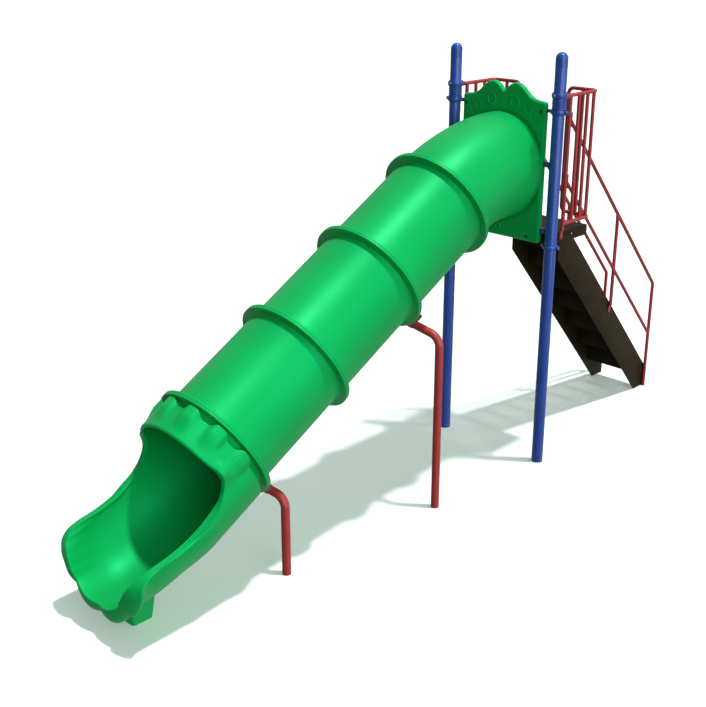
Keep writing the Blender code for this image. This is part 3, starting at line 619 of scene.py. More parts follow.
def perforated(bm, x_edges, y_edges, top, thickness, radius, left_out=()):
    """A flat sheet of cells, each inner one with a round hole."""
    faces = []
    columns, rows = len(x_edges) - 1, len(y_edges) - 1
    for i in range(columns):
        for j in range(rows):
            if (i, j) in left_out:
                continue
            (x0, x1), (y0, y1) = x_edges[i:i + 2], y_edges[j:j + 2]
            xm, ym = (x0 + x1) / 2, (y0 + y1) / 2
            frame_points = [(x1, ym), (x1, y1), (xm, y1), (x0, y1), (x0, ym), (x0, y0), (xm, y0), (x1, y0)]
            outer = [bm.verts.new((x, y, top)) for x, y in frame_points]
            if not (0 < i < columns - 1 and 0 < j < rows - 1):
                faces.append(bm.faces.new(outer))
                continue
            circle = ring_of(bm, Vector((xm, ym, top)), ACROSS, REARWARD, radius, 16)
            for k in range(8):
                facing = [circle[(2 * k + step) % 16] for step in (2, 1, 0)]
                faces.append(bm.faces.new((outer[k], outer[(k + 1) % 8], *facing)))
    verts = list(dict.fromkeys(vert for face in faces for vert in face.verts))
    bmesh.ops.remove_doubles(bm, verts=verts, dist=1e-6)
    faces = [face for face in faces if face.is_valid]
    made = bmesh.ops.extrude_face_region(bm, geom=faces, use_keep_orig=True)
    lower = [item for item in made["geom"] if isinstance(item, bmesh.types.BMVert)]
    bmesh.ops.translate(bm, verts=lower, vec=-UP * thickness)


def spread(low, high, count):
    return [low + (high - low) * step / count for step in range(count + 1)]


def joint_centre(number):
    """Middle of the flange joint, counted from 1 at the elbow."""
    return FIRST_JOINT + DOWN * JOINT_PITCH * (number - 1)


# Posts, caps, clamps and clips

def build_posts():
    corners = [(0, 0, 0), (POST_RADIUS, 0, 0.001), (POST_RADIUS, POST_TOP, 0.001), (0, POST_TOP, 0)]
    post_profile = rounded(corners, 2)
    dome = CAP_TOP - POST_TOP - CAP_EDGE
    crown = [(0, CAP_TOP)]
    for step in range(1, 15):
        angle = pi / 2 * (1 - step / 14)
        crown.append((CAP_RADIUS * cos(angle), CAP_TOP - dome * (1 - sin(angle))))
    socket, skirt = POST_RADIUS + GAP, POST_TOP - CAP_SKIRT
    rim = [(CAP_RADIUS, skirt + 0.0015), (CAP_RADIUS - 0.0015, skirt), (socket, skirt)]
    cap_profile = crown + rim + [(socket, POST_TOP + GAP), (0, POST_TOP + GAP)]
    pieces = ("painted_post", post_profile, "post"), ("domed_cap", cap_profile, "post_cap")
    for label, side in SIDES:
        for look, profile, solid in pieces:
            bm = bmesh.new()
            turned(bm, profile, ACROSS * side * POST_X, UP, ACROSS, 96)
            piece(f"{look}_{label}", bm, BLUE, f"{solid}_{label}")


def ring_corners(height):
    half = RING_HEIGHT / 2
    return [(CLAMP_RING, height - half, 0.003), (CLAMP_RING, height + half, 0.003)]


def clamp_profile():
    """Section of the upper clamp: a sleeve with two rings and ribs between them."""
    half, bore = RING_HEIGHT / 2, POST_RADIUS + GAP
    bottom, top = LOWER_RING_Z + half, UPPER_RING_Z - half
    low, high = LOWER_RING_Z - half - CLAMP_OVERHANG, UPPER_RING_Z + half + CLAMP_OVERHANG
    corners = [(bore, low, 0), (CLAMP_SLEEVE, low, 0.001), (CLAMP_SLEEVE, LOWER_RING_Z - half, 0.0015)]
    corners += [*ring_corners(LOWER_RING_Z), (CLAMP_SLEEVE, bottom, 0.0015)]
    pitch = (top - bottom) / RIB_COUNT
    for rib in range(RIB_COUNT):
        middle = bottom + pitch * (rib + 0.5)
        foot, crown = pitch * RIB_FOOT, pitch * RIB_CROWN
        corners += [
            (CLAMP_SLEEVE, middle - foot, 0.001), (CLAMP_RIB, middle - crown, 0.0015),
            (CLAMP_RIB, middle + crown, 0.0015), (CLAMP_SLEEVE, middle + foot, 0.001),
        ]
    corners += [(CLAMP_SLEEVE, top, 0.0015), *ring_corners(UPPER_RING_Z)]
    corners += [(CLAMP_SLEEVE, UPPER_RING_Z + half, 0.0015), (CLAMP_SLEEVE, high, 0.001), (bore, high, 0)]
    return rounded(corners, 3)


def deck_clamp_profile():
    half, bore = RING_HEIGHT / 2, POST_RADIUS + GAP
    low, high = DECK_RING_Z - half, DECK_RING_Z + half
    return rounded([(bore, low, 0), *ring_corners(DECK_RING_Z), (bore, high, 0)], 3)


def add_ear(bm, xs, ys, height):
    half = RING_HEIGHT / 2
    (left, right), (front, rear) = sorted(xs), sorted(ys)
    add_block(bm, (left, front, height - half), (right, rear, height + half), 0.0025)


def add_fixing(bm, place, axis):
    """A bolt and its nut through a clamp's ear."""
    add_bolt(bm, place + axis * EAR_HALF, axis, *CLAMP_BOLT)
    add_nut(bm, place - axis * EAR_HALF, -axis, *CLAMP_NUT)


def build_clamps():
    thick = (-EAR_HALF, EAR_HALF)
    panel_edge = PANEL_HALF_WIDTH + GAP
    outer_ear = (POST_X + EAR_ROOT, POST_X + EAR_REACH)
    for label, side in SIDES:
        centre = side * POST_X
        upper, deck_clamp, fasteners = bmesh.new(), bmesh.new(), bmesh.new()
        turned(upper, clamp_profile(), ACROSS * centre, UP, ACROSS, 72, True)
        for near, far in ((panel_edge, POST_X - EAR_ROOT), outer_ear):
            add_ear(upper, (side * near, side * far), thick, LOWER_RING_Z)
        for ys in ((-EAR_REACH, -EAR_ROOT), (EAR_ROOT, EAR_REACH)):
            add_ear(upper, (centre + thick[0], centre + thick[1]), ys, UPPER_RING_Z)
        piece(f"ribbed_clamp_{label}", upper, BLUE, f"upper_clamp_{label}")
        turned(deck_clamp, deck_clamp_profile(), ACROSS * centre, UP, ACROSS, 72, True)
        for near, far in ((POST_X - EAR_REACH, POST_X - EAR_ROOT), outer_ear):
            add_ear(deck_clamp, (side * near, side * far), thick, DECK_RING_Z)
        piece(f"deck_ring_clamp_{label}", deck_clamp, BLUE, f"deck_clamp_{label}")

        for near, z in ((INNER_BOLT_REACH, LOWER_RING_Z), (BOLT_REACH, DECK_RING_Z)):
            for reach in (-near, BOLT_REACH):
                add_fixing(fasteners, Vector((side * (POST_X + reach), 0, z)), -REARWARD)
        for y in (-BOLT_REACH, BOLT_REACH):
            add_fixing(fasteners, Vector((centre, y, UPPER_RING_Z)), ACROSS * side)
        for level, height in CLIP_HEIGHTS.items():
            clip = bmesh.new()
            low, high = sorted((side * panel_edge, side * (POST_X - POST_RADIUS + 0.001)))
            add_block(
                clip, (low, -CLIP_HALF_DEPTH, height - CLIP_HALF_HEIGHT),
                (high, CLIP_HALF_DEPTH, height + CLIP_HALF_HEIGHT), 0.003, 3,
            )
            piece(f"clip_{label}_{level}", clip, BLUE, f"panel_clip_{label}_{level}")
            place = Vector((side * (panel_edge + CLIP_BOLT_REACH), -CLIP_HALF_DEPTH, height))
            add_bolt(fasteners, place, -REARWARD, *CLAMP_BOLT)
        piece(f"clamp_bolts_{label}", fasteners, ZINC)


# Entrance panel

def panel_outline():
    """Even points of the panel's closed edge in (x, z), with their inward directions."""
    corners = mirrored(PANEL_CORNERS, [PANEL_VALLEY])
    sparse = [Vector(point) for point in rounded(corners, 16, closed=True)]
    even = evenly(sparse + sparse[:1], PANEL_EDGE_POINTS)[:-1]
    inward = []
    for before, after in zip(even[-1:] + even[:-1], even[1:] + even[:1]):
        tangent = (after - before).normalized()
        inward.append(Vector((-tangent.y, tangent.x)))
    return even, inward


def mouth_radius(angle):
    """Reach of the elbow's oval mouth at an angle round the entry's centre."""
    width, height = ELBOW_MOUTH
    return 1 / hypot(cos(angle) / width, sin(angle) / height)


def build_panel():
    outline, inward = panel_outline()
    panel = bmesh.new()
    centre = Vector((0, ENTRY_Z))
    shares = [0, 0.02, 0.05, 0.09, 0.14, 0.2, 0.28, 0.38, 0.5, 0.62, 0.74, 0.85, 0.94, 1]
    arcs = [pi / 2 * step / 6 for step in range(1, 7)]
    section = [(PANEL_ROUNDING * (1 - sin(a)), PANEL_HALF - PANEL_ROUNDING * (1 - cos(a))) for a in arcs]
    sides = []
    for face in (-1, 1):
        loops = []
        for share in shares:
            loop = []
            for point, normal in zip(outline, inward):
                edge = point + normal * PANEL_ROUNDING
                offset = edge - centre
                place = (centre + offset.normalized() * PANEL_HOLE).lerp(edge, share)
                depth = 0.0
                if face < 0:
                    mouth, reach = mouth_radius(atan2(offset.y, offset.x)), (place - centre).length
                    open_share = smoothstep(*RECESS_ROOM, offset.length - mouth)
                    depth = PANEL_RECESS * (1 - smoothstep(*RECESS_RUN, reach - mouth)) * open_share
                loop.append(panel.verts.new((place.x, face * (PANEL_HALF - depth), place.y)))
            loops.append(loop)
        for inset, half in section if face < 0 else section[:-1]:
            edges = [point + normal * inset for point, normal in zip(outline, inward)]
            loops.append([panel.verts.new((edge.x, face * half, edge.y)) for edge in edges])
        sides.append(loops)
    join_rings(panel, sides[0] + sides[1][::-1], True)
    piece("moulded_panel", panel, GREEN, "entrance_panel")

    rings = bmesh.new()
    places = [(reach, side * angle, radius) for reach, angle, radius in PANEL_RINGS for side in (-1, 1)]
    for reach, angle, radius in places + [PANEL_LOW_RING]:
        turn = radians(angle)
        x, z = reach * sin(turn), ENTRY_Z + reach * cos(turn)
        width, height = PANEL_RING_WIDTH, PANEL_RING_HEIGHT
        profile = [(radius - width, -0.002)]
        for step in range(9):
            swing = pi * step / 8
            profile.append((radius - width / 2 - width / 2 * cos(swing), height * sin(swing) ** 0.7))
        profile.append((radius, -0.002))
        for face in (-1, 1):
            turned(rings, profile, Vector((x, face * PANEL_HALF, z)), REARWARD * face, ACROSS, 40, True)
    piece("panel_raised_rings", rings, GREEN)

    bolts = bmesh.new()
    for x, z in PANEL_BOLTS:
        for side in (-1, 1):
            for face in (-1, 1):
                place = Vector((side * x, face * PANEL_HALF, z))
                add_bolt(bolts, place, REARWARD * face, *PANEL_BOLT)
    piece("panel_bolts", bolts, DARK)


# Tube

def build_elbow():
    """Bent tube from an oval mouth against the panel to a flange at the first joint."""
    joint = joint_centre(1)
    corner = Vector((0, joint.y + (ENTRY_Z - joint.z) / tan(SLOPE), ENTRY_Z))
    reach = (joint - corner).length - FLANGE_THICK - ELBOW_STRAIGHT
    radius = reach / tan(SLOPE / 2)
    pivot = corner + Vector((0, reach, -radius))
    mouth = Vector((0, -PANEL_HALF + PANEL_RECESS - GAP, ENTRY_Z))
    wall = TUBE_OUTER - TUBE_INNER
    stations = []
    for distance, inset in ELBOW_EDGE:
        stations.append((mouth - REARWARD * distance, 0.0, inset))
    for step in range(ELBOW_BEND_RINGS):
        turn = SLOPE * step / (ELBOW_BEND_RINGS - 1)
        place = pivot + lean(turn) * radius
        if place.y < mouth.y - ELBOW_FIRST_RING:
            stations.append((place, turn, 0.0))

    def oval(bm, place, turn, inset):
        mouth_width, mouth_height = ELBOW_MOUTH
        share = smoothstep(0, 0.6, turn / SLOPE)
        half_width = mouth_width + (TUBE_OUTER - mouth_width) * share - inset
        half_height = mouth_height + (TUBE_OUTER - mouth_height) * share - inset
        return ring_of(bm, place, ACROSS * half_width, lean(turn) * half_height, 1, TUBE_SIDES)

    elbow = bmesh.new()
    outer = [oval(elbow, *station) for station in stations]
    flange = rounded(
        [(TUBE_OUTER, -ELBOW_END, 0), (TUBE_OUTER, -FLANGE_THICK, FLANGE_ROOT),
         (FLANGE_RADIUS, -FLANGE_THICK, FLANGE_EDGE), (FLANGE_RADIUS, -GAP / 2, SEAM_EDGE),
         (TUBE_INNER, -GAP / 2, 0)], 5,
    )
    last = (stations[-1][0] - joint).dot(DOWN)
    for ring_radius, along in flange:
        if along > last + 0.002 or ring_radius > TUBE_OUTER + 0.0001:
            outer.append(ring_of(elbow, joint + DOWN * along, ACROSS, NORMAL, ring_radius, TUBE_SIDES))
    inner = [oval(elbow, place, turn, wall) for place, turn, inset in stations]
    join_rings(elbow, outer + inner[::-1], True)
    piece("moulded_elbow", elbow, GREEN, "tube_elbow")


def build_sections():
    length = JOINT_PITCH - GAP
    near, far = FLANGE_THICK, length - FLANGE_THICK
    corners = [
        (TUBE_INNER, 0, 0.002), (FLANGE_RADIUS, 0, SEAM_EDGE), (FLANGE_RADIUS, near, FLANGE_EDGE),
        (TUBE_OUTER, near, FLANGE_ROOT), (TUBE_OUTER, far, FLANGE_ROOT), (FLANGE_RADIUS, far, FLANGE_EDGE),
        (FLANGE_RADIUS, length, SEAM_EDGE), (TUBE_INNER, length, 0.002),
    ]
    profile = rounded(corners, 5, closed=True)
    for number in range(1, SECTION_COUNT + 1):
        section = bmesh.new()
        start = joint_centre(number) + DOWN * GAP / 2
        turned(section, profile, start, DOWN, ACROSS, TUBE_SIDES, True)
        piece(f"moulded_section_{number}", section, GREEN, f"tube_section_{number}")


def build_joint_bolts():
    for number in range(1, SECTION_COUNT + 2):
        bolts, nuts = bmesh.new(), bmesh.new()
        joint = joint_centre(number)
        for index in range(BOLTS_PER_JOINT):
            angle = 2 * pi * index / BOLTS_PER_JOINT
            place = joint + (ACROSS * cos(angle) + NORMAL * sin(angle)) * BOLT_CIRCLE
            behind = FLANGE_THICK
            around = (degrees(angle) + 180) % 360 - 180
            if number in (2, 4) and any(abs(around - saddle) < 1 for saddle in BOLT_ANGLES):
                behind += SADDLE_THICK + GAP
            add_bolt(bolts, place + DOWN * FLANGE_THICK, DOWN, *JOINT_BOLT)
            add_nut(nuts, place - DOWN * behind, -DOWN, *JOINT_NUT, index * 0.4)
        piece(f"joint_bolts_{number}", bolts, ZINC)
        piece(f"joint_nuts_{number}", nuts, DARK)


# Exit chute

EXIT_START = joint_centre(SECTION_COUNT + 1)
EXIT_DROP = EXIT_BEND * (1 - cos(SLOPE))
EXIT_STRAIGHT = (EXIT_START.z - EXIT_FLOOR_Z - TUBE_INNER - EXIT_DROP) / sin(SLOPE)


def exit_centre(along):
    """The chute's centre line and its up-facing normal, at a distance from the last joint."""
    if along <= EXIT_STRAIGHT:
        return EXIT_START + DOWN * along, NORMAL
    turn = SLOPE - (along - EXIT_STRAIGHT) / EXIT_BEND
    bend_start = EXIT_START + DOWN * EXIT_STRAIGHT
    pivot = bend_start + NORMAL * EXIT_BEND
    return pivot - lean(turn) * EXIT_BEND, lean(turn)


def spline(points, steps):
    """Smooth curve through points, in steps of one length."""
    padded = [Vector(point) for point in (points[0], *points, points[-1])]
    dense = []
    for p0, p1, p2, p3 in zip(padded, padded[1:], padded[2:], padded[3:]):
        for step in range(12):
            t = step / 12
            dense.append(
                (p1 * 2 + (p2 - p0) * t + (p0 * 2 - p1 * 5 + p2 * 4 - p3) * t * t
                 + (p1 * 3 - p0 - p2 * 3 + p3) * t * t * t) / 2
            )
    return evenly(dense + padded[-1:], steps)


def crest(angle):
    """1 on the ridge of a flute, 0 in the groove between two."""
    return smoothstep(0.10, 0.90, 0.5 - 0.5 * cos(FLUTES * (angle - pi / 2)))


def fade(limits, angle):
    """0 at one angle in degrees, 1 at another."""
    return smoothstep(*limits, degrees(angle))


def hood_share(angle):
    """1 over the hood, 0 over the lower half of the chute."""
    return fade(HOOD_FADE_ANGLES, angle)


def hood_start(angle):
    """Where the wall begins to rise, further back on each ridge."""
    return HOOD_START - HOOD_SCALLOP * crest(angle) * hood_share(angle)


def by_angle(table, angle):
    """Value of a table of (degrees, distance) at an angle."""
    for (high, before), (low, after) in zip(table, table[1:]):
        if degrees(angle) >= low:
            return before + (after - before) * smoothstep(high, low, degrees(angle))
    return table[-1][1]


def notch(angle):
    """1 in the notches between the lip's lobes, 0 in the middle of each lobe and along the sides."""
    return (1 - abs(sin(pi * (degrees(angle) + 90) / LIP_LOBE))) * fade(LIP_NOTCH_ANGLES, angle)


def lip_flare(angle):
    """How far the lip's outside stands off the tube at the rim."""
    side, tip = LIP_FLARE
    reach = side + (tip - side) * fade(LIP_FLARE_ANGLES, angle)
    return (reach - by_angle(LIP_NOTCH_DROP, angle) * notch(angle)) * (1 - hood_share(angle))


def ear(along, angle):
    """Rounded swelling at each front corner of the hood."""
    offset = (degrees(angle) - EAR_ANGLE) / EAR_WIDTH
    return EAR_RISE * exp(-offset * offset) * smoothstep(*EAR_RUN, along)


def side_ridges(along, angle):
    """Fine ridges just under the chute's side rims."""
    first, second, third, fourth = RIDGE_ANGLES
    share = fade((first, second), angle) * fade((fourth, third), angle)
    share *= smoothstep(*RIDGE_RUN[:2], along) * smoothstep(RIDGE_RUN[3], RIDGE_RUN[2], along)
    return RIDGE_HEIGHT * share * (0.5 - 0.5 * cos(2 * pi * (degrees(angle) - first) / RIDGE_PITCH))


def rim_out(share, out, angle):
    """How far the wall's end stands out: a tilted face with soft edges, or the hood's roll."""
    roll = HOOD_ROLL * sqrt(max(1 - (2 * share - 1) ** 2, 0.0))
    hood = hood_share(angle)
    face = out + (RIM_EDGE * (1 - (2 * share - 1) ** 8) - out) * fade(RIM_EDGE_ANGLES, angle)
    return (face - by_angle(LIP_TILT, angle) * share * share) * (1 - hood) + roll * hood


def column_angles():
    over, beside, under = EXIT_COLUMNS
    angles = spread(90, HOOD_EDGE, over)[:-1] + spread(HOOD_EDGE, -HOOD_EDGE, beside)[:-1]
    return angles + spread(-HOOD_EDGE, -90, under)


def rim_position(rim, angle):
    target = radians(angle) * TUBE_OUTER
    for index, (before, after) in enumerate(zip(rim, rim[1:])):
        if after.y <= target:
            return index + (before.y - target) / (before.y - after.y)
    return len(rim) - 1


def exit_grid(tilted):
    """Each column of the +X half: its (along, angle, distance to the rim), end direction and angle."""
    rim = spline([(along, radians(angle) * TUBE_OUTER) for along, angle in EXIT_RIM], RIM_STEPS)
    side_start, side_end = rim_position(rim, HOOD_EDGE), rim_position(rim, -HOOD_EDGE)
    columns = []
    for angle in column_angles():
        if abs(angle) < HOOD_EDGE:
            share = (HOOD_EDGE - angle) / (2 * HOOD_EDGE)
            position = side_start + (side_end - side_start) * share
        else:
            position = rim_position(rim, angle)
        index = min(int(position), RIM_STEPS - 1)
        end = rim[index].lerp(rim[index + 1], position - index)
        end.x -= LIP_NOTCH * notch(end.y / TUBE_OUTER) + RIM_SETBACK
        turn = radians(angle)
        start = Vector((hood_start(turn), turn * TUBE_OUTER))
        whole = (end - start).length
        length = whole - (by_angle(LIP_TILT, end.y / TUBE_OUTER) if tilted else 0)
        middle = spread(EXIT_NEAR_ROWS[-1], length - EXIT_RIM_ROWS[0], EXIT_MIDDLE_ROWS)[1:-1]
        column = []
        for distance in [*EXIT_NEAR_ROWS, *middle, *(length - to_rim for to_rim in EXIT_RIM_ROWS)]:
            place = start.lerp(end, distance / whole)
            column.append((place.x, place.y / TUBE_OUTER, length - distance))
        columns.append((column, (end - start).normalized(), end.y / TUBE_OUTER))
    return columns


def outer_radius(along, angle, to_rim):
    """Outside of the chute: a fluted hood over the upper half, a flared lip along the rim."""
    start = hood_start(angle)
    hood = hood_share(angle)
    flute = crest(angle) * (1 - smoothstep(*HOOD_FLUTE_RUN, along))
    shell = SHELL_RISE + (SHELL_FRONT - SHELL_RISE) * smoothstep(*SHELL_TAPER, along)
    rise = hood * (HOOD_RISE + HOOD_FLUTE * flute) + (1 - hood) * shell
    flare = lip_flare(angle) * smoothstep(LIP_WIDTH, 0, to_rim)
    body = (rise + ear(along, angle)) * smoothstep(start, start + HOOD_RAMP, along)
    return TUBE_OUTER + max(body, flare) + side_ridges(along, angle)


def inner_radius(along, angle, to_rim):
    """Inside of the chute, which narrows to the lip's crest."""
    return TUBE_INNER - by_angle(CREST_INSET, angle) * smoothstep(CREST_RUN, 0, to_rim)


def exit_point(along, angle, radius, side):
    centre, normal = exit_centre(along)
    return centre + ACROSS * side * cos(angle) * radius + normal * sin(angle) * radius


def both_sides(bm, columns, place_of):
    """One ring round the chute from the columns of the +X half."""
    ring = [bm.verts.new(place_of(column, 1)) for column in columns]
    ring += [bm.verts.new(place_of(column, -1)) for column in reversed(columns[1:-1])]
    return ring


def build_exit():
    outside, inside = exit_grid(True), exit_grid(False)
    angles = [radians(angle) for angle in column_angles()]
    chute = bmesh.new()
    face = GAP / 2
    back = face + FLANGE_THICK
    flange = rounded(
        [(TUBE_INNER, face, 0), (FLANGE_RADIUS, face, SEAM_EDGE), (FLANGE_RADIUS, back, FLANGE_EDGE),
         (TUBE_OUTER, back, 0.004), (TUBE_OUTER, back + 0.0046, 0)], 4,
    )

    def skin(columns, row, radius_at):
        places = [column[row] for column, direction, end_angle in columns]
        return both_sides(chute, places, lambda place, side: exit_point(*place[:2], radius_at(*place), side))

    def rim_place(pair, side, share, out):
        (outer_column, *_), (column, direction, end_angle) = pair
        along, angle, to_rim = column[-1]
        inner = inner_radius(along, angle, to_rim)
        radius = inner + (outer_radius(*outer_column[-1]) - inner) * share
        out = rim_out(share, out, end_angle)
        return exit_point(along + direction.x * out, angle + direction.y * out / TUBE_OUTER, radius, side)

    rings = []
    for radius, along in flange:
        rings.append(both_sides(chute, angles, lambda angle, side: exit_point(along, angle, radius, side)))
    rows = range(len(inside[0][0]))
    rings += [skin(outside, row, outer_radius) for row in rows]
    for share, out in RIM_SECTION:
        pairs = list(zip(outside, inside))
        rings.append(both_sides(chute, pairs, lambda pair, side: rim_place(pair, side, share, out)))
    rings += [skin(inside, row, inner_radius) for row in reversed(rows)]
    join_rings(chute, rings, True)
    underside = BVHTree.FromBMesh(chute)
    piece("moulded_exit", chute, GREEN, "exit_chute", 45)
    build_foot(underside)


def build_foot(underside):
    """Tapered block with round corners, up to the underside of the chute."""
    foot = bmesh.new()
    rings = []
    for share in spread(0, 1, 14):
        half_x, half_y = (low + (high - low) * share for low, high in zip(FOOT_BOTTOM, FOOT_TOP))
        corners = mirrored([(half_x, -half_y, FOOT_CORNER), (half_x, half_y, FOOT_CORNER)])
        ring = []
        for x, y in rounded(corners, 8, closed=True):
            start = Vector((x, FOOT_CENTRE_Y + y, 0))
            top = underside.ray_cast(start, UP)[0].z + 0.002
            ring.append(foot.verts.new((start.x, start.y, top * share)))
        rings.append(ring)
    join_rings(foot, rings)
    foot.faces.new(rings[0])
    middle = sum((vert.co for vert in rings[-1]), Vector()) / len(rings[-1])
    fan(foot, foot.verts.new(middle), rings[-1])
    piece("moulded_foot", foot, GREEN, "exit_foot")


# Bent supports

def build_support(name, foot, joint_number):
    joint = joint_centre(joint_number)
    tip = joint - DOWN * ARM_STANDOFF + ACROSS * ARM_TIP_X - NORMAL * ARM_DEPTH
    base = Vector((foot[0], foot[1], 0))
    run = (Vector((tip.x, tip.y, 0)) - base).length
    corner = Vector((base.x, base.y, tip.z - ARM_SLOPE * run))
    pipe = bmesh.new()
    add_pipe(pipe, rounded_path((base, corner, tip), SUPPORT_BEND, 24), SUPPORT_RADIUS, 56)
    piece(f"{name}_bent_pipe", pipe, RED, f"{name}_support")

    saddle = bmesh.new()
    turns = [radians(angle) for angle in spread(*SADDLE_ANGLES, 24)]
    outline = [(SADDLE_OUTER * cos(turn), SADDLE_OUTER * sin(turn)) for turn in turns]
    outline += [(SADDLE_INNER * cos(turn), SADDLE_INNER * sin(turn)) for turn in turns[::-1]]
    near = FLANGE_THICK + 1.5 * GAP
    far = near + SADDLE_THICK
    add_prism(saddle, outline, ACROSS, NORMAL, joint - DOWN * near, joint - DOWN * far)
    along = (tip - corner).normalized()
    bore = SUPPORT_RADIUS + GAP
    shell = bore + SOCKET_WALL
    socket = rounded(
        [(0, SOCKET_END, 0), (shell, SOCKET_END, 0.003), (shell, -SOCKET_LENGTH, 0.0015),
         (bore, -SOCKET_LENGTH, 0), (bore, GAP, 0), (0, GAP, 0)], 3,
    )
    turned(saddle, socket, tip, along, along.orthogonal().normalized(), 56)
    piece(f"{name}_saddle_plate", saddle, RED, f"{name}_saddle")

    bolts = bmesh.new()
    across = along.cross(UP).normalized()
    for side in (-1, 1):
        place = tip - along * SOCKET_BOLT + across * side * shell
        add_bolt(bolts, place, across * side, *SADDLE_BOLT)
    piece(f"{name}_saddle_bolts", bolts, ZINC)


# Deck and stair

def build_deck():
    half = POST_X - RAIL_RADIUS - GAP
    front = PANEL_HALF + GAP
    right = [
        (DECK_NOTCH_X, front, NOTCH_CORNER), (DECK_NOTCH_X, DECK_NOTCH_Y, NOTCH_CORNER),
        (half, DECK_NOTCH_Y, NOTCH_CORNER), (half, DECK_REAR, DECK_CORNER),
    ]
    outline = [Vector(point) for point in rounded(mirrored(right), 6, closed=True)]
    miters = []
    for before, point, after in zip(outline[-1:] + outline[:-1], outline, outline[1:] + outline[:1]):
        back, ahead = (point - before).normalized(), (after - point).normalized()
        tangent = (back + ahead).normalized()
        inward = Vector((-tangent.y, tangent.x))
        miters.append(inward / max(inward.dot(Vector((-back.y, back.x))), 0.3))
    edge = rounded([
        (0, -DECK_SKIRT, 0.0015), (0, 0, 0.006), (DECK_EDGE, 0, 0), (DECK_EDGE, -DECK_SHEET, 0),
        (DECK_SHEET, -DECK_SHEET, 0.002), (DECK_SHEET, -DECK_SKIRT, 0.0015),
    ], 4, closed=True)
    skirt = bmesh.new()
    rings = []
    for inset, drop in edge:
        points = [point + miter * inset for point, miter in zip(outline, miters)]
        rings.append([skirt.verts.new((*point, DECK_TOP + drop)) for point in points])
    join_rings(skirt, rings, True)
    drills = bmesh.new()
    radius, reach = DRILL
    profile = [(0, -reach), (radius, -reach), (radius, reach), (0, reach)]
    for side in (-1, 1):
        turned(drills, profile, Vector((side * half, *SIDE_HOLE)), ACROSS, UP, 24)
    skirt = carve(skirt, drills)
    inset_half, inset_front, inset_rear = half - DECK_EDGE, front + DECK_EDGE, DECK_REAR - DECK_EDGE
    x_step, y_step = DECK_NOTCH_X - DECK_EDGE, DECK_NOTCH_Y + DECK_EDGE
    x_edges = [-inset_half] + spread(-x_step, x_step, DECK_CELLS[0]) + [inset_half]
    y_edges = [inset_front] + spread(y_step, inset_rear, DECK_CELLS[1])
    last = len(x_edges) - 2
    perforated(skirt, x_edges, y_edges, DECK_TOP, DECK_SHEET, DECK_HOLE, {(0, 0), (last, 0)})
    piece("perforated_deck", skirt, BROWN, "deck")


def carve(target, tool):
    """The target with the tool's solids cut out of it."""
    clean(target)
    clean(tool)
    made = [object_from("target", target), object_from("tool", tool)]
    change = made[0].modifiers.new("cut", "BOOLEAN")
    change.operation = "DIFFERENCE"
    change.solver = "EXACT"
    change.object = made[1]
    graph = bpy.context.evaluated_depsgraph_get()
    result = bmesh.new()
    result.from_mesh(made[0].evaluated_get(graph).to_mesh())
    for item in made:
        mesh = item.data
        bpy.data.objects.remove(item)
        bpy.data.meshes.remove(mesh)
    return result


def top_edge(height):
    """Where the stringers' top edge has a height."""
    return STRINGER_TOP[0] - (height - STRINGER_TOP[1]) / STAIR_PITCH


def edge_height(along, depth=0.0):
    """Height of the stringers' top edge, or of a line below it."""
    return STRINGER_TOP[1] - depth - STAIR_PITCH * (along - STRINGER_TOP[0])


def build_stair():
    ceiling = DECK_TOP - DECK_SKIRT - GAP
    outline = (
        (STRINGER_FRONT, edge_height(STRINGER_FRONT, STRINGER_DEPTH)), (STRINGER_FRONT, ceiling),
        (top_edge(ceiling), ceiling), (STRINGER_REAR, edge_height(STRINGER_REAR)), (STRINGER_REAR, 0),
        (top_edge(STRINGER_DEPTH), 0),
    )
    inner = STAIR_HALF - STRINGER_THICK
    for label, side in SIDES:
        stringer = bmesh.new()
        faces = ACROSS * side * inner, ACROSS * side * STAIR_HALF
        add_prism(stringer, outline, REARWARD, UP, *faces, 0.002)
        piece(f"coated_stringer_{label}", stringer, BROWN, f"stair_stringer_{label}")
    rise = DECK_TOP / RISER_COUNT
    half = inner - GAP
    for number in range(1, RISER_COUNT):
        height = rise * number
        nose = top_edge(height) - TREAD_SETBACK
        rear = nose - TREAD_GOING
        under = height - TREAD_FOLD
        riser_top = min(under + rise - GAP, ceiling)
        riser_rear = rear if number < RISER_COUNT - 1 else max(rear, STRINGER_FRONT)
        fold, sheet = FOLD_DEPTH, height - TREAD_SHEET
        step = bmesh.new()
        nosing = [
            (nose, under, 0.001), (nose, height, 0.008), (nose - fold, height, 0), (nose - fold, sheet, 0),
            (nose - TREAD_SHEET, sheet, 0.004), (nose - TREAD_SHEET, under, 0.001),
        ]
        riser_face = riser_rear + RISER_THICK
        rear_fold = [
            (riser_rear, under, 0.001), (riser_rear, riser_top, 0.001), (riser_face, riser_top, 0.001),
            (riser_face, height, 0.003), (riser_rear + fold, height, 0), (riser_rear + fold, sheet, 0),
            (riser_rear + TREAD_SHEET, sheet, 0.003), (riser_rear + TREAD_SHEET, under, 0.001),
        ]
        for corners, steps in ((nosing, 5), (rear_fold, 3)):
            section = rounded(corners, steps, closed=True)
            add_prism(step, section, REARWARD, UP, ACROSS * -half, ACROSS * half, 0)
        margin_x, margin_y = TREAD_MARGINS
        x_edges = [-half] + spread(-half + margin_x, half - margin_x, TREAD_CELLS[0] - 1) + [half]
        back, front = riser_rear + fold, nose - fold
        y_edges = [back] + spread(back + margin_y, front - margin_y, TREAD_CELLS[1]) + [front]
        perforated(step, x_edges, y_edges, height, TREAD_SHEET, TREAD_HOLE)
        piece(f"folded_tread_{number}", step, BROWN, f"stair_tread_{number}")


# Guard cages and handrails

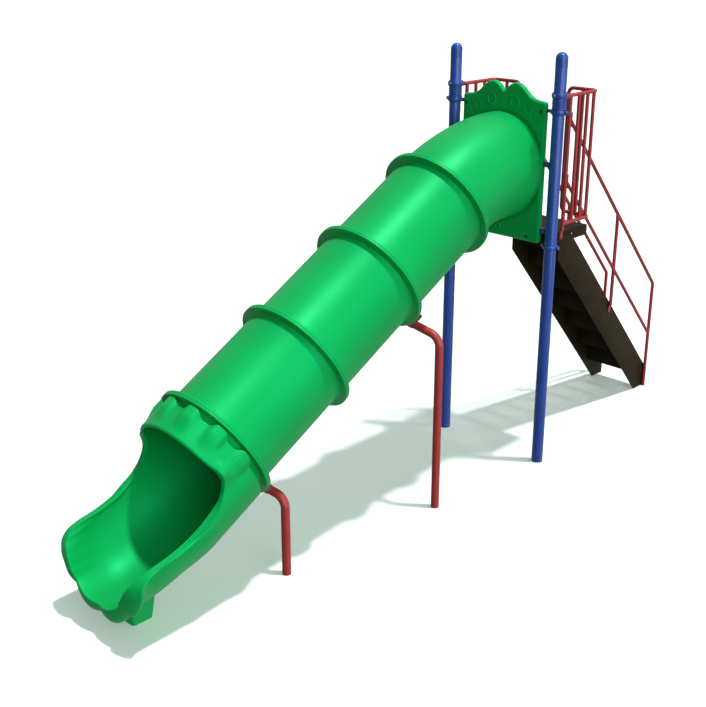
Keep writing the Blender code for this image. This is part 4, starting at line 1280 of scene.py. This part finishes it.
def build_guards():
    for label, side in SIDES:
        line, end = side * POST_X, side * GUARD_RETURN_X
        outward = ACROSS * side
        ear_shift = EAR_HALF + FLAT_HALF + GAP
        cage = bmesh.new()
        start = Vector((line, GUARD_FIRST_Y + 0.02, GUARD_TOP))
        corners = (
            start, (line, GUARD_REAR, GUARD_TOP), (end, GUARD_REAR, GUARD_TOP),
            (end, GUARD_REAR, GUARD_BOTTOM), (line, GUARD_REAR, GUARD_BOTTOM),
            (line, GUARD_FIRST_Y, GUARD_BOTTOM),
        )
        add_pipe(cage, rounded_path(corners, RAIL_BEND), RAIL_RADIUS)
        add_flat_ended(cage, start, Vector((line, GUARD_FRONT_Y, GUARD_TOP)), ear_shift, outward)
        places = [(line, GUARD_FIRST_Y + GUARD_BAR_PITCH * step) for step in range(1, 3)]
        places += [(line, GUARD_REAR - RAIL_BEND), (side * GUARD_RETURN_BAR_X, GUARD_REAR)]
        for x, y in places:
            add_pipe(cage, [Vector((x, y, GUARD_BOTTOM)), Vector((x, y, GUARD_TOP))], BAR_RADIUS)
        top, foot = Vector((line, GUARD_FIRST_Y, GUARD_TOP)), Vector((line, GUARD_FIRST_Y, GUARD_FOOT_Z))
        add_flat_ended(cage, top, foot, GUARD_FOOT_SHIFT, outward)
        piece(f"guard_cage_{label}", cage, RED, f"guardrail_{label}")
        bolts = bmesh.new()
        place = foot + UP * GUARD_BOLT_UP + outward * (FLAT_HALF + GUARD_FOOT_SHIFT)
        add_bolt(bolts, place, outward, *CLAMP_BOLT)
        place = Vector((line, BOLT_REACH, GUARD_TOP)) + outward * (ear_shift + FLAT_HALF)
        add_bolt(bolts, place, outward, *CLAMP_BOLT)
        piece(f"guard_bolts_{label}", bolts, ZINC)


def rail_line(along, drop=0.0):
    """Height of the sloping top rail, or of a line below it."""
    return HANDRAIL_CORNER[1] - drop + HANDRAIL_PITCH * (HANDRAIL_CORNER[0] - along)


def build_handrails():
    start = GUARD_REAR + RAIL_RADIUS + GAP
    rail_start = start + PLATE_THICK
    corner_y, corner_z = HANDRAIL_CORNER
    for label, side in SIDES:
        line = side * (STAIR_HALF + GAP + RAIL_RADIUS)
        rails = bmesh.new()
        corners = ((line, rail_start, rail_line(rail_start)), (line, corner_y, corner_z), (line, corner_y, 0))
        add_pipe(rails, rounded_path(corners, RAIL_BEND), RAIL_RADIUS)
        ends = (rail_start, corner_y)
        add_pipe(rails, [Vector((line, y, rail_line(y, MIDRAIL_DROP))) for y in ends], BAR_RADIUS)
        top = Vector((line, MIDDLE_POST_Y, rail_line(MIDDLE_POST_Y)))
        foot = Vector((line, MIDDLE_POST_Y, MIDDLE_POST_FOOT))
        add_flat_ended(rails, top, foot, -side * (RAIL_RADIUS - FLAT_HALF), ACROSS)
        bolts = bmesh.new()
        for drop in (0.0, MIDRAIL_DROP):
            height = rail_line(rail_start, drop)
            add_block(
                rails, (line - PLATE_HALF_WIDTH, start, height - PLATE_HALF_HEIGHT),
                (line + PLATE_HALF_WIDTH, rail_start, height + PLATE_HALF_HEIGHT),
            )
            for offset in (-PLATE_BOLT_REACH, PLATE_BOLT_REACH):
                add_bolt(bolts, Vector((line, rail_start, height + offset)), REARWARD, *PLATE_BOLT)
        place = foot + UP * RAIL_BOLT_UP - ACROSS * side * (RAIL_RADIUS - 2 * FLAT_HALF)
        add_bolt(bolts, place, ACROSS * side, *CLAMP_BOLT)
        piece(f"stair_rail_{label}", rails, RED, f"handrail_{label}")
        piece(f"stair_rail_bolts_{label}", bolts, ZINC)


build_posts()
build_clamps()
build_panel()
build_elbow()
build_sections()
build_joint_bolts()
build_exit()
build_support("mid", MID_SUPPORT_FOOT, 2)
build_support("low", LOW_SUPPORT_FOOT, 4)
build_deck()
build_stair()
build_guards()
build_handrails()


# Floor, light and camera

def build_stage():
    grid = bmesh.new()
    bmesh.ops.create_grid(grid, x_segments=8, y_segments=8, size=FLOOR_REACH)
    floor = object_from("pale_floor_painted_glow", grid)
    floor.location.z = -0.0005
    made, tree, place = new_material("pale_floor_painted_glow")
    # The floor's green glow and the faint green of its colour are painted light: they lift the shadows on the
    # floor and tint them green in place of bounce light from the plastic.
    fill(
        tree, tree.nodes["Principled BSDF"], Roughness=0.9, Specular_IOR_Level=0.1,
        Base_Color=colour_between(tree, place, 0.7, (0.86, 0.90, 0.88), (0.88, 0.92, 0.90)),
        Emission_Color=(0.78, 1.0, 0.88, 1), Emission_Strength=0.17,
    )
    floor.data.materials.append(made)
    floor.visible_diffuse = False
    floor.visible_glossy = False


def build_light():
    world = bpy.data.worlds.new("studio")
    bpy.context.scene.world = world
    world.use_nodes = True
    tree = world.node_tree
    parts = node(tree, "SeparateXYZ", Vector=node(tree, "TexCoord").outputs["Generated"])
    start, end = WORLD_TURN
    strength = node(
        tree, "MapRange", Value=parts.outputs["Y"], From_Min=start, From_Max=end, To_Min=WORLD_FRONT,
        To_Max=WORLD_REAR,
    )
    fill(tree, tree.nodes["Background"], Color=WORLD_COLOUR, Strength=strength.outputs["Result"])
    for name, direction, energy, angle in LAMPS:
        light = bpy.data.lights.new(name, "SUN")
        light.energy = energy
        light.angle = radians(angle)
        add_object(name, light).rotation_euler = Vector(direction).to_track_quat("Z", "Y").to_euler()


def build_camera():
    camera = bpy.data.cameras.new("camera")
    camera.lens = CAMERA_LENS
    camera.sensor_width = 36
    camera.clip_end = 500
    yaw, pitch = CAMERA_YAW, CAMERA_PITCH
    forward = Vector((sin(yaw) * cos(pitch), cos(yaw) * cos(pitch), -sin(pitch)))
    right = Vector((cos(yaw), -sin(yaw), 0))
    turn = Matrix((right, right.cross(forward), -forward)).transposed().to_4x4()
    holder = add_object("camera", camera)
    holder.matrix_world = Matrix.Translation(OFFSET + CAMERA_PLACE) @ turn
    bpy.context.scene.camera = holder


build_stage()
build_light()
build_camera()
bpy.context.scene.view_settings.view_transform = "Standard"
